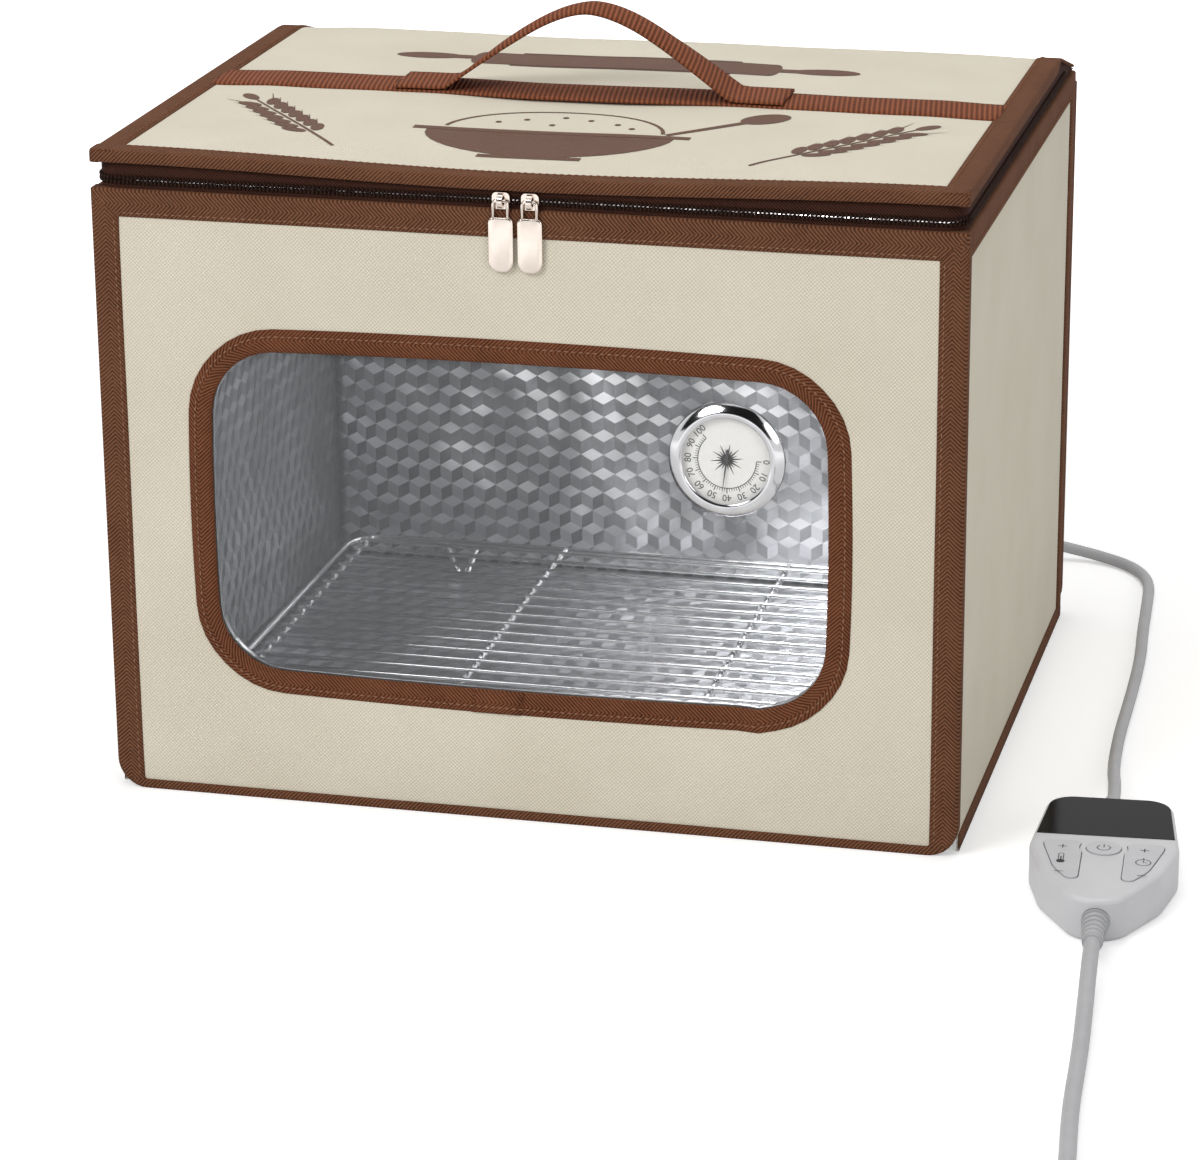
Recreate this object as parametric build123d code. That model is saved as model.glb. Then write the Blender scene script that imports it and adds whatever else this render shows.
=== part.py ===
from build123d import *
from math import acos, asin, atan2, cos, degrees, hypot, pi, radians, sin, tan
import os

# A folding dough proofer: a fabric box on stiff panels, with a zipped lid, a window, a wire rack,
# a heated floor that folds up in the middle, and a lead with a controller and a plug.
# Millimetres. X is to the right, Y to the back, Z up. The origin lies on the floor, under the
# middle of the box.

# Box
WIDTH = 400.0  # over the binding tapes
DEPTH = 340.0
RIM_HEIGHT = 290.0
CORNER = 14.0  # bottom corners of the front and back panels
GAP = 0.3  # between pieces of different bodies

# Fabric sandwich
COVER = 0.8  # woven outer fabric
CORE = 4.4  # stiffening board and foam
LINER = 0.8  # foil inside
FILM = 0.7  # heating film in the floor
TAPE = 0.8  # binding tape
TAPE_WIDTH = 12.5
HEM = 4.0  # what shows of the tape along the bottom edge
SKIRT = 8.0  # tape along the bottom of the side walls

# Window
VIEW_WIDTH = 283.0
VIEW_HEIGHT = 152.0
VIEW_CORNER = 29.0
WINDOW_X = -4.0
WINDOW_Z = 141.0
WINDOW_TAPE = 11.0
PANE = 0.5
PANE_LAP = 6.0  # how far the pane goes behind the cover

# Humidity dial in the pane
DIAL_X = 93.5
DIAL_Z = 181.0
CASE_RADIUS = 22.0
CASE_DEPTH = 8.5
CASE_WALL = 0.8
BEZEL_RADIUS = 26.5
BEZEL_HEIGHT = 3.6
BEZEL_LIP = 1.1
LENS = 0.8
DIAL_CARD = 0.5
NEEDLE_LENGTH = 16.5
NEEDLE_TAIL = 5.0
NEEDLE_TURN = -97.5  # degrees from +X, seen from the front
PIN_RADIUS = 0.6

# Zipper
ZIP_BAND = 12.0  # from the rim to the lid
ZIP_RISE = 4.2  # from the rim to the middle of the coil
ZIP_INSET = 2.0  # middle of the zipper tape behind the outer faces
ZIP_TAPE = 0.8
BEAD = 1.2  # radius of one row of the coil
BEAD_GAP = 1.6
ZIP_CORNER = 10.0
SLIDER_WIDTH = 8.0
SLIDER_HEIGHT = 7.5
SLIDER_PLATE = 1.0
SLIDER_LIP = 0.6
SLIDER_PITCH = 13.3
SLIDER_MIDDLE = -1.6
ARCH_OUTER = 3.4
ARCH_INNER = 2.2
ARCH_WIDTH = 2.4
PULL_WIDTH = 11.5
PULL_LENGTH = 25.0
PULL_THICK = 1.4
PULL_NECK = 8.0
PULL_WIRE = 0.8  # radius
PULL_SPREAD = 3.3

# Lid
LID_CORE = 3.5
LID_FLAT = 280.0  # from the front edge to where the lid starts to drop
ROLL = 30.0
HINGE_RADIUS = 3.0
HINGE_CLEAR = 11.0  # from the hinge line to the lid's rear end
LEAF_CLEAR = 4.0  # from the leaf's front edge to where the lid bends
LEAF_THICK = 0.8

# Strap and handle
WEBBING = 30.0
WEBBING_THICK = 1.7
STRAP_Y = -14.0
HANDLE_X = -5.0
HANDLE_SPAN = 134.0
HANDLE_RISE = 42.0
HANDLE_CROWN = 30.0
HANDLE_BEND = 24.0
HANDLE_FOOT = 10.0
HANDLE_TILT = 35.0  # degrees each way
PATCH = 20.0

# Rack
RACK_SIDE_GAP = 15.2  # to the side walls' liners
RACK_FRONT_GAP = 78.4
RACK_REAR_GAP = 24.0
RACK_CORNER = 18.0
RIM_WIRE = 1.6  # radius
GRID_WIRE = 1.1
GRID_COUNT = 15
RACK_LEG = 17.0
LEG_SPREAD = 9.0
LEG_FOOT = 2.5  # half of the flat run that stands on the floor
LEG_PLACE = 0.33  # of the width, each side of the middle
LEG_BEND = 3.0
BRACE_PLACE = 0.17
RAIL_PITCH = 9.0

# Lead, controller and plug
GROMMET_X = 150.0
GROMMET_Z = 22.0
GROMMET_SHAFT = 5.6
GROMMET_FLANGE = 9.0
GROMMET_FLANGE_THICK = 2.0
BOOT_LENGTH = 24.0
BOOT_RIBS = 5
HEATER_LEAD = 6.0  # diameter
MAINS_LEAD = 7.0  # diameter
CONTROLLER_X = 269.0
CONTROLLER_Y = -191.0
CONTROLLER_TURN = 4.2
CONTROLLER_LENGTH = 118.0
CONTROLLER_WIDTH = 66.0
CONTROLLER_HEAD = 58.0
CONTROLLER_HEIGHT = 20.0
CONTROLLER_WALL = 2.0
CONTROLLER_ROUND = 2.5
HEAD_ROUND = 13.0
WAIST_PLACE = 3.0  # where the controller is widest
TAPER_ROUND = 28.5
TAPER_PLACE = -17.0
TAIL_ROUND = 16.0
SEAM_HEIGHT = 10.0
BOARD = 1.6
BOARD_HEIGHT = 8.0
DISPLAY_EDGE = 13.0
DISPLAY_THICK = 1.5
DISPLAY_PROUD = 0.3
DISPLAY_INSET = 1.6
BUTTON_RADIUS = 7.6
BUTTON_PROUD = 0.6
BUTTON_DEEP = 2.6
BUTTON_TRAVEL = 0.8
ROCKER_PIN = 1.0  # radius
BUTTON_Y = -1.5
KEY_GAP = 0.35
PAD_INSET = 6.5
PAD_TOP = 5.0
PAD_BOTTOM = -37.0
PAD_SIDE = 9.5
PAD_ROUND = 3.0
PAD_CLEAR = 3.2
RELIEF_ROOT = 6.0
RELIEF_SEAT = 1.3  # depth of the recess round the root
RELIEF_NECK = 4.2
UPPER_RELIEF = 20.0
LOWER_RELIEF = 23.0
RELIEF_RIBS = 6

COIL_X = 249.0
COIL_Y = -602.0
COIL_RADIUS = 47.0
COIL_PITCH = 9.0
COIL_RISE = 7.9
COIL_HALF_TURNS = 10
PLUG_RELIEF = 22.0
PLUG_LENGTH = 34.0
PLUG_WIDTH = 25.0
PLUG_HEIGHT = 14.0
BLADE_LENGTH = 17.0
BLADE_WIDTH = 6.3
BLADE_THICK = 1.5
BLADE_PITCH = 12.7

half_width, half_depth = WIDTH / 2, DEPTH / 2
wall = COVER + CORE + LINER
floor = COVER + CORE + FILM + LINER
cover_x, cover_y = half_width - TAPE, half_depth - TAPE
inner_x, inner_y = cover_x - wall, cover_y - wall

hinge_y, hinge_z = cover_y - HINGE_RADIUS, RIM_HEIGHT - HINGE_RADIUS
back_top = hinge_z - HINGE_RADIUS - GAP
lid_thick = TAPE + COVER + LID_CORE + LINER
lid_bottom = RIM_HEIGHT + ZIP_BAND
lid_top = lid_bottom + lid_thick
flat_end = LID_FLAT - half_depth
lid_lift = HINGE_RADIUS + GAP + COVER + TAPE
slope = atan2(lid_top - hinge_z, hinge_y - flat_end) - asin(
    lid_lift / hypot(hinge_y - flat_end, lid_top - hinge_z)
)

zip_x, zip_y = half_width - ZIP_INSET, half_depth - ZIP_INSET
zip_middle = RIM_HEIGHT + ZIP_RISE
bead_drop = BEAD_GAP / 2 + BEAD
zip_side_start = ZIP_CORNER + 1.0 - zip_y


def block(x, y, z):
    """A box from its low and high limits along each axis."""
    size = [high - low for low, high in (x, y, z)]
    middle = [(high + low) / 2 for low, high in (x, y, z)]
    return Pos(*middle) * Box(*size)


def span(half):
    return (-half, half)


def upright_plane(y):
    """The plane across the box at y, as seen from the front: X to the right, Y up."""
    return Plane(origin=(0, y, 0), x_dir=(1, 0, 0), z_dir=(0, -1, 0))


def upright(outline, low, high):
    """An upright sheet with this outline, between two depths."""
    return extrude(upright_plane(high) * outline, amount=high - low)


def along_x(outline, low, high):
    """A bar with this YZ outline, between two places along X."""
    plane = Plane(origin=(low, 0, 0), x_dir=(0, 1, 0), z_dir=(1, 0, 0))
    return extrude(plane * outline, amount=high - low)


def turned(outline):
    """A solid of revolution about Z, from its half section as (radius, height) points."""
    return revolve(Plane.XZ * make_face(Polyline(*outline, close=True)), Axis.Z)


def both_sides(shape):
    """The shape and its mirror image on the other side of the box."""
    return Part() + [shape, mirror(shape, about=Plane.YZ)]


def save(name, shape):
    export_step(shape, f"parts/{name}.step")


# Front and back panels


def panel_outline(inset, top):
    """An upright panel: square at the rim, rounded at its two bottom corners."""
    sheet = Pos(0, (inset + top) / 2) * Rectangle(WIDTH - 2 * inset, top - inset)
    return fillet(sheet.vertices().sort_by(Axis.Y)[:2], CORNER - inset)


def window_shape(grow):
    size = (VIEW_WIDTH + 2 * grow, VIEW_HEIGHT + 2 * grow)
    return Pos(WINDOW_X, WINDOW_Z) * RectangleRounded(*size, VIEW_CORNER + grow)


def dial_place(shape):
    """Put a shape made about Z on the pane, with its Z towards the viewer."""
    return upright_plane(COVER - cover_y) * Pos(DIAL_X, DIAL_Z) * shape


def front_layers():
    sheet = panel_outline(TAPE, RIM_HEIGHT - TAPE)
    cover_back, core_back = COVER - cover_y, COVER + CORE - cover_y
    hole = Pos(DIAL_X, DIAL_Z) * Circle(CASE_RADIUS + GAP)
    save("front_cover", upright(sheet - window_shape(0), -cover_y, cover_back))
    save("front_core", upright(sheet - window_shape(PANE_LAP + GAP), cover_back, core_back))
    save("front_liner", upright(sheet - window_shape(0), core_back, -inner_y))
    save("window_pane", upright(window_shape(PANE_LAP) - hole, cover_back, cover_back + PANE))
    ring = window_shape(WINDOW_TAPE) - window_shape(0)
    save("window_binding", upright(ring, -half_depth, -cover_y))


def panel_binding(top, strip):
    """Tape round the front panel: a flat frame on its face and a wrap round its edge."""
    high = top - strip if strip else top + TAPE
    bare = Pos(0, (HEM + high) / 2) * Rectangle(WIDTH - 2 * TAPE_WIDTH, high - HEM)
    frame = upright(panel_outline(0, top) - bare, -half_depth, -cover_y)
    inner = panel_outline(TAPE, top - TAPE if strip else top + TAPE)
    return frame + upright(panel_outline(0, top) - inner, -cover_y, -inner_y)


def back_layers():
    sheet = panel_outline(TAPE, back_top)
    hole = Pos(GROMMET_X, GROMMET_Z) * Circle(GROMMET_SHAFT + GAP)
    save("back_liner", upright(sheet - hole, inner_y, inner_y + LINER))
    save("back_core", upright(sheet - hole, inner_y + LINER, cover_y - COVER))
    save("back_cover", upright(sheet - hole, cover_y - COVER, cover_y))
    save("back_binding", mirror(panel_binding(back_top, 0), about=Plane.XZ))


# Side walls


def side_layers():
    depth = (GAP - inner_y, inner_y)
    height = (0, RIM_HEIGHT - TAPE)
    faces = [inner_x, inner_x + LINER, cover_x - COVER, cover_x]
    for name, low, high in zip(("side_liners", "side_cores", "side_covers"), faces, faces[1:]):
        save(name, both_sides(block((low, high), depth, height)))
    rim = block((cover_x, half_width), depth, (RIM_HEIGHT - TAPE_WIDTH, RIM_HEIGHT))
    rim += block((inner_x, half_width), depth, (RIM_HEIGHT - TAPE, RIM_HEIGHT))
    skirt = block((cover_x, half_width), depth, (0, SKIRT))
    save("side_bindings", both_sides(Part() + [rim, skirt]))


# Floor


def floor_layers():
    width = span(inner_x - GAP)
    heights = [0, COVER, COVER + CORE, COVER + CORE + FILM, floor]
    for half, depth in (("rear", (GAP / 2, inner_y)), ("front", (-inner_y, -GAP / 2))):
        for layer, low, high in zip(("cover", "core", "film", "liner"), heights, heights[1:]):
            save(f"bottom_{half}_{layer}", block(width, depth, (low, high)))


# Zipper


def zip_section(side):
    """Half a zipper as seen along it: tape and one row of coil; side is 1 above, -1 below."""
    bead = zip_middle + side * bead_drop
    edge = lid_bottom if side > 0 else RIM_HEIGHT
    tape = Pos(0, (bead + edge) / 2) * Rectangle(ZIP_TAPE, abs(edge - bead))
    return tape + Pos(0, bead) * Circle(BEAD)


def zip_half(side, rear):
    """Half a zipper round the front and both corners, back to a given depth."""
    route = FilletPolyline(
        (-zip_x, rear), (-zip_x, -zip_y), (zip_x, -zip_y), (zip_x, rear), radius=ZIP_CORNER
    )
    return sweep(upright_plane(rear) * Pos(-zip_x, 0) * zip_section(side), path=route)


def zippers():
    save("front_zip", zip_half(-1, zip_side_start))
    save("lid_zip", zip_half(1, flat_end))
    straight = upright(Pos(zip_x, 0) * zip_section(-1), zip_side_start + GAP, flat_end)
    save("side_zips", both_sides(straight))


def slider():
    """A zipper slider about its own middle: two plates, the wedge between the coils, an arch."""
    inside = BEAD + GAP
    outside = inside + SLIDER_PLATE
    plate = RectangleRounded(SLIDER_WIDTH, SLIDER_HEIGHT, SLIDER_WIDTH / 4)
    body = upright(plate, -outside, -inside) + upright(plate, inside, outside)
    lip_y = ZIP_TAPE / 2 + GAP
    for end in (-1, 1):
        lip = SLIDER_HEIGHT / 2 - SLIDER_LIP / 2
        rail = Pos(0, end * lip) * Rectangle(SLIDER_WIDTH / 2, SLIDER_LIP)
        body += upright(rail, -inside, -lip_y) + upright(rail, lip_y, inside)
    wedge = Rectangle(SLIDER_WIDTH / 3, BEAD_GAP - 2 * GAP)
    body += upright(wedge, -inside, inside)
    ring = Circle(ARCH_OUTER) - Circle(ARCH_INNER)
    ring &= Pos(-ARCH_OUTER / 2, 0) * Rectangle(ARCH_OUTER, 2 * ARCH_OUTER)
    return body + Pos(0, -outside, 0) * along_x(ring, *span(ARCH_WIDTH / 2))


def pull():
    """A pull that hangs from the slider's arch, about the middle of its cross wire."""
    corners = [(-PULL_SPREAD, -PULL_NECK), (-PULL_SPREAD, 0), (PULL_SPREAD, 0)]
    corners += [(PULL_SPREAD, -PULL_NECK)]
    bail = upright_plane(0) * FilletPolyline(*corners, radius=PULL_WIRE * 1.5)
    start = Plane(origin=bail @ 0, z_dir=bail % 0)
    loop = sweep(start * Circle(PULL_WIRE), path=bail)
    tab = RectangleRounded(PULL_WIDTH, PULL_LENGTH, PULL_WIDTH / 4)
    low = -PULL_NECK - PULL_LENGTH / 2 + PULL_WIRE
    return loop + upright(Pos(0, low) * tab, -PULL_THICK / 2, PULL_THICK / 2)


def sliders():
    for name, side in (("left", -1), ("right", 1)):
        x = SLIDER_MIDDLE + side * SLIDER_PITCH / 2
        save(f"slider_{name}", Pos(x, -zip_y, zip_middle) * slider())
        front = zip_y + BEAD + GAP + SLIDER_PLATE
        save(f"pull_{name}", Pos(x, -front - PULL_WIRE - GAP, zip_middle) * pull())


# Lid


def lid_line(front, drop):
    """The lid's side view at a distance under its top: flat, then down to the hinge."""
    high = lid_top - drop
    rear_y = hinge_y + (lid_lift - drop) * sin(slope) - HINGE_CLEAR * cos(slope)
    rear_z = hinge_z + (lid_lift - drop) * cos(slope) + HINGE_CLEAR * sin(slope)
    bend = (flat_end - drop * tan(slope / 2), high)
    return FilletPolyline((front, high), bend, (rear_y, rear_z), radius=ROLL - drop)


def lid_band(front, above, below):
    """The section of one sheet of the lid between two distances under its top."""
    top, bottom = lid_line(front, above), lid_line(front, below)
    ends = [Line(top @ 0, bottom @ 0), Line(top @ 1, bottom @ 1)]
    return make_face(top.edges() + bottom.edges() + ends)


def lid_sheets():
    front = TAPE - half_depth
    rear = flat_end - ROLL * tan(slope / 2) - GAP
    under = TAPE + COVER
    save("lid_cover", along_x(lid_band(front, TAPE, under), *span(cover_x)))
    board = (lid_bottom + LINER, lid_top - under)
    save("lid_core", block(span(cover_x), (front, rear), board))
    save("lid_liner", block(span(cover_x), (front, rear), (lid_bottom, lid_bottom + LINER)))
    sheet = along_x(lid_band(-half_depth, 0, TAPE), *span(half_width))
    middle = span(half_width - TAPE_WIDTH)
    sheet -= block(middle, (TAPE_WIDTH - half_depth, half_depth), (RIM_HEIGHT, lid_top))
    edge = block((cover_x, half_width), (-half_depth, rear), (lid_bottom, lid_top))
    edge += along_x(lid_band(-half_depth, 0, under), cover_x, half_width)
    lip = block(span(half_width), (-half_depth, front), (lid_bottom, lid_top))
    save("lid_binding", sheet + both_sides(edge) + lip)


def hinge_tape():
    """The rolled seam along the rear rim, with the leaf that the lid lies on."""
    roll = Pos(hinge_y, hinge_z) * Circle(HINGE_RADIUS)
    reach = (hinge_y - flat_end) / cos(slope) - ROLL * tan(slope / 2) - LEAF_CLEAR
    leaf = Pos(-reach / 2, HINGE_RADIUS - LEAF_THICK / 2) * Rectangle(reach, LEAF_THICK)
    leaf = Pos(hinge_y, hinge_z) * Rot(0, 0, -degrees(slope)) * leaf
    save("hinge_tape", along_x(roll + leaf, *span(inner_x - GAP)))


# Strap and handle

strap_low = lid_top - TAPE
strap_top = strap_low + WEBBING_THICK
foot_radius = WEBBING_THICK
handle_z = strap_top + foot_radius + GAP


def strap():
    depth = (STRAP_Y - WEBBING / 2, STRAP_Y + WEBBING / 2)
    band = block(span(half_width - TAPE_WIDTH), depth, (strap_low, strap_top))
    near = HANDLE_SPAN / 2 + HANDLE_FOOT + GAP
    for side in (-1, 1):
        ends = sorted((HANDLE_X + side * near, HANDLE_X + side * (near + PATCH)))
        band += block(ends, depth, (strap_top, strap_top + WEBBING_THICK))
    save("lid_strap", band)


def handle():
    """A webbing arch, narrow at its feet so that it can lean to either side."""
    near, rise = HANDLE_SPAN / 2, HANDLE_RISE - foot_radius
    half = [(near + HANDLE_FOOT, 0), (near, 0), (HANDLE_CROWN / 2, rise)]
    points = [(-x, z) for x, z in half] + half[::-1]
    route = upright_plane(0) * FilletPolyline(*points, radius=HANDLE_BEND)
    start = Plane(origin=route @ 0, x_dir=(0, 1, 0), z_dir=(1, 0, 0))
    arch = sweep(start * Rectangle(WEBBING, WEBBING_THICK), path=route)
    lean = tan(radians(HANDLE_TILT))
    wide, full = WEBBING / 2, WEBBING / 2 * lean + WEBBING_THICK
    corners = [(foot_radius, -foot_radius), (foot_radius, WEBBING_THICK), (wide, full)]
    corners += [(wide, rise + 2 * WEBBING_THICK)]
    corners += [(-y, z) for y, z in corners[::-1]]
    reach = near + HANDLE_FOOT
    arch &= along_x(make_face(Polyline(*corners, close=True)), *span(reach))
    for ends in ((-reach, -near), (near, reach)):
        arch += along_x(Circle(foot_radius), *ends)
    save("carry_handle", Pos(HANDLE_X, STRAP_Y, handle_z) * arch)


# Rack

rack_width = 2 * (inner_x - RACK_SIDE_GAP)
rack_depth = 2 * inner_y - RACK_FRONT_GAP - RACK_REAR_GAP
rack_y = (RACK_FRONT_GAP - RACK_REAR_GAP) / 2
rack_foot = floor + RIM_WIRE
rack_z = rack_foot + RACK_LEG


def wire(points, bend, radius):
    """A bent wire through these points."""
    route = FilletPolyline(*points, radius=bend) if len(points) > 2 else Line(*points)
    return sweep(Plane(origin=route @ 0, z_dir=route % 0) * Circle(radius), path=route)


def rack():
    wide, deep = rack_width / 2 - RIM_WIRE, rack_depth / 2 - RIM_WIRE
    rim = RectangleRounded(2 * wide, 2 * deep, RACK_CORNER).face().outer_wire()
    frame = sweep(Plane(origin=rim @ 0, z_dir=rim % 0) * Circle(RIM_WIRE), path=rim)
    for side_x in (-1, 1):
        for side_y in (-1, 1):
            x, y = side_x * rack_width * LEG_PLACE, side_y * deep
            leg = [(-LEG_SPREAD, 0), (-LEG_FOOT, -RACK_LEG), (LEG_FOOT, -RACK_LEG), (LEG_SPREAD, 0)]
            frame += wire([(x + along, y, z) for along, z in leg], LEG_BEND, RIM_WIRE)
        for x in (side_x * rack_width * BRACE_PLACE, side_x * (wide - RAIL_PITCH)):
            frame += wire([(x, -deep, 0), (x, deep, 0)], 0, RIM_WIRE)
    save("rack_frame", Pos(0, rack_y, rack_z) * frame)
    step = 2 * deep / (GRID_COUNT + 1)
    height = RIM_WIRE + GRID_WIRE
    ends = wide - RAIL_PITCH + RIM_WIRE
    rows = [n * step - deep for n in range(1, GRID_COUNT + 1)]
    grid = [wire([(-ends, y, height), (ends, y, height)], 0, GRID_WIRE) for y in rows]
    save("rack_wires", Pos(0, rack_y, rack_z) * (Part() + grid))


# Humidity dial


def humidity_dial():
    inside = CASE_RADIUS - CASE_WALL
    front = BEZEL_HEIGHT - BEZEL_LIP / 2
    cup = [(0, -CASE_DEPTH), (CASE_RADIUS, -CASE_DEPTH), (CASE_RADIUS, front), (inside, front)]
    cup += [(inside, CASE_WALL - CASE_DEPTH), (0, CASE_WALL - CASE_DEPTH)]
    shelf = [(inside - CASE_WALL, -CASE_WALL), (inside, -CASE_WALL), (inside, 0)]
    shelf += [(inside - CASE_WALL, 0)]
    save("dial_case", dial_place(turned(cup) + turned(shelf)))
    card = Circle(inside - GAP) - Circle(PIN_RADIUS + GAP)
    save("dial_card", dial_place(extrude(card, amount=DIAL_CARD)))
    lens = Pos(0, 0, front - LENS) * extrude(Circle(inside - GAP / 2), amount=LENS)
    save("dial_lens", dial_place(lens))
    low, lip = CASE_RADIUS + GAP / 2, inside - BEZEL_LIP
    crown = ThreePointArc(
        (BEZEL_RADIUS, CASE_WALL),
        (BEZEL_RADIUS - BEZEL_LIP * 1.3, BEZEL_HEIGHT * 0.75),
        (CASE_RADIUS, BEZEL_HEIGHT),
    )
    rest = [(CASE_RADIUS, BEZEL_HEIGHT), (lip, front + BEZEL_LIP / 4), (lip, front)]
    rest += [(low, front), (low, 0), (BEZEL_RADIUS, 0), (BEZEL_RADIUS, CASE_WALL)]
    section = make_face(crown.edges() + Polyline(*rest).edges())
    save("dial_bezel", dial_place(revolve(Plane.XZ * section, Axis.Z)))
    level = (DIAL_CARD + front - LENS) / 2
    blade = [(-NEEDLE_TAIL, PIN_RADIUS), (-NEEDLE_TAIL, -PIN_RADIUS), (NEEDLE_LENGTH, 0)]
    blade = extrude(make_face(Polyline(*blade, close=True)), amount=PIN_RADIUS / 2)
    needle = Pos(0, 0, level) * (blade + Cylinder(PIN_RADIUS * 2, PIN_RADIUS))
    needle += Pos(0, 0, (level - CASE_WALL) / 2) * Cylinder(PIN_RADIUS, level + CASE_WALL)
    save("dial_needle", dial_place(Rot(0, 0, NEEDLE_TURN) * needle))


# Lead, controller and plug


def relief(length, root, tip, ribs):
    """A tapered strain relief up Z: ribs round a spine, wide at the housing."""
    outline, step = [(0, 0)], length / ribs
    for n in range(ribs):
        wide = root + (tip - root) * n / ribs
        spine = (wide + tip) / 2 - (root - tip) / (2 * ribs)
        middle = (n + 0.6) * step
        outline += [(wide, n * step), (wide, middle), (spine, middle), (spine, (n + 1) * step)]
    return turned(outline + [(0, length)])


def grommet():
    """The boot that the lead leaves the back panel by, with its shaft and inner flange."""
    shaft = [(0, -wall - LINER), (GROMMET_SHAFT, -wall - LINER), (GROMMET_SHAFT, 0)]
    shaft += [(GROMMET_FLANGE, 0), (GROMMET_FLANGE, GROMMET_FLANGE_THICK)]
    shaft += [(0, GROMMET_FLANGE_THICK)]
    boot = relief(BOOT_LENGTH, RELIEF_ROOT, HEATER_LEAD / 2 + LINER, BOOT_RIBS)
    piece = turned(shaft) + Pos(0, 0, GROMMET_FLANGE_THICK) * boot
    out = Plane(origin=(GROMMET_X, cover_y, GROMMET_Z), x_dir=(1, 0, 0), z_dir=(0, 1, 0))
    save("cord_grommet", out * piece)


def cord(route, diameter, more=()):
    """A round cord: straight runs joined by arcs as large as their runs allow."""
    points = [Vector(*p) for p in route]
    runs = [b - a for a, b in zip(points, points[1:])]
    radii = []
    for before, after in zip(runs, runs[1:]):
        turn = radians(before.get_angle(after))
        radii.append(0.45 * min(before.length, after.length) / tan(turn / 2))
    line = FilletPolyline(*points, radius=radii)
    path = Wire(list(more) + list(line.edges()))
    tube = sweep(Plane(origin=path @ 0, z_dir=path % 0) * Circle(diameter / 2), path=path)
    print("radii", [round(r) for r in radii], "length", round(path.length), end=" ")
    print("volume ratio", round(tube.volume / (pi * diameter**2 / 4 * path.length), 4))
    return tube


def controller_place(shape):
    return Pos(CONTROLLER_X, CONTROLLER_Y, 0) * Rot(0, 0, CONTROLLER_TURN) * shape


def controller_point(y, z):
    """Where a point on the controller's middle line lies."""
    turn = radians(CONTROLLER_TURN)
    return (CONTROLLER_X - y * sin(turn), CONTROLLER_Y + y * cos(turn), z)


def round_the(circles):
    """Half an outline on the right: arcs of these circles, from the head down, and tangents."""
    turns = [pi / 2]
    for (x1, y1, r1), (x2, y2, r2) in zip(circles, circles[1:]):
        turns.append(atan2(y2 - y1, x2 - x1) + acos((r1 - r2) / hypot(x2 - x1, y2 - y1)))
    turns.append(-pi / 2)
    arcs = []
    for (x, y, r), start, end in zip(circles, turns, turns[1:]):
        steps = (start, (start + end) / 2, end)
        arcs.append(ThreePointArc(*[(x + r * cos(turn), y + r * sin(turn)) for turn in steps]))
    return arcs + [Line(a @ 1, b @ 0) for a, b in zip(arcs, arcs[1:])]


def controller_outline():
    """An egg with a straight head: head at +Y, tail at -Y."""
    end, head = CONTROLLER_LENGTH / 2, CONTROLLER_HEAD / 2 - HEAD_ROUND
    circles = [(head, end - HEAD_ROUND, HEAD_ROUND), (0, WAIST_PLACE, CONTROLLER_WIDTH / 2)]
    circles += [(0, TAPER_PLACE, TAPER_ROUND), (0, TAIL_ROUND - end, TAIL_ROUND)]
    half = [Line((0, end), (head, end))] + round_the(circles)
    return make_face(half + [mirror(edge, about=Plane.YZ) for edge in half])


def pad_outline(grow):
    """The kidney pad on the right of the controller's face."""
    end = CONTROLLER_LENGTH / 2
    pad = offset(controller_outline(), -PAD_INSET)
    high, low = PAD_TOP, PAD_BOTTOM
    pad &= Pos(PAD_SIDE + end, (high + low) / 2) * Rectangle(2 * end, high - low)
    pad -= Pos(0, BUTTON_Y) * Circle(BUTTON_RADIUS + PAD_CLEAR)
    return offset(offset(pad, -PAD_ROUND), PAD_ROUND + grow)


board_top = BOARD_HEIGHT + BOARD
key_low = CONTROLLER_HEIGHT - BUTTON_DEEP
pad_x = (CONTROLLER_WIDTH / 2 - PAD_INSET + PAD_SIDE) / 2
pad_y = (PAD_TOP + PAD_BOTTOM) / 2
rocker_axle = key_low - ROCKER_PIN / 2


def relief_planes():
    """Where the two leads come out of the controller's head and tail."""
    place = CONTROLLER_LENGTH / 2 - RELIEF_SEAT
    up = Plane(origin=(0, place, SEAM_HEIGHT), x_dir=(1, 0, 0), z_dir=(0, 1, 0))
    down = Plane(origin=(0, -place, SEAM_HEIGHT), x_dir=(1, 0, 0), z_dir=(0, -1, 0))
    return up, down


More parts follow.
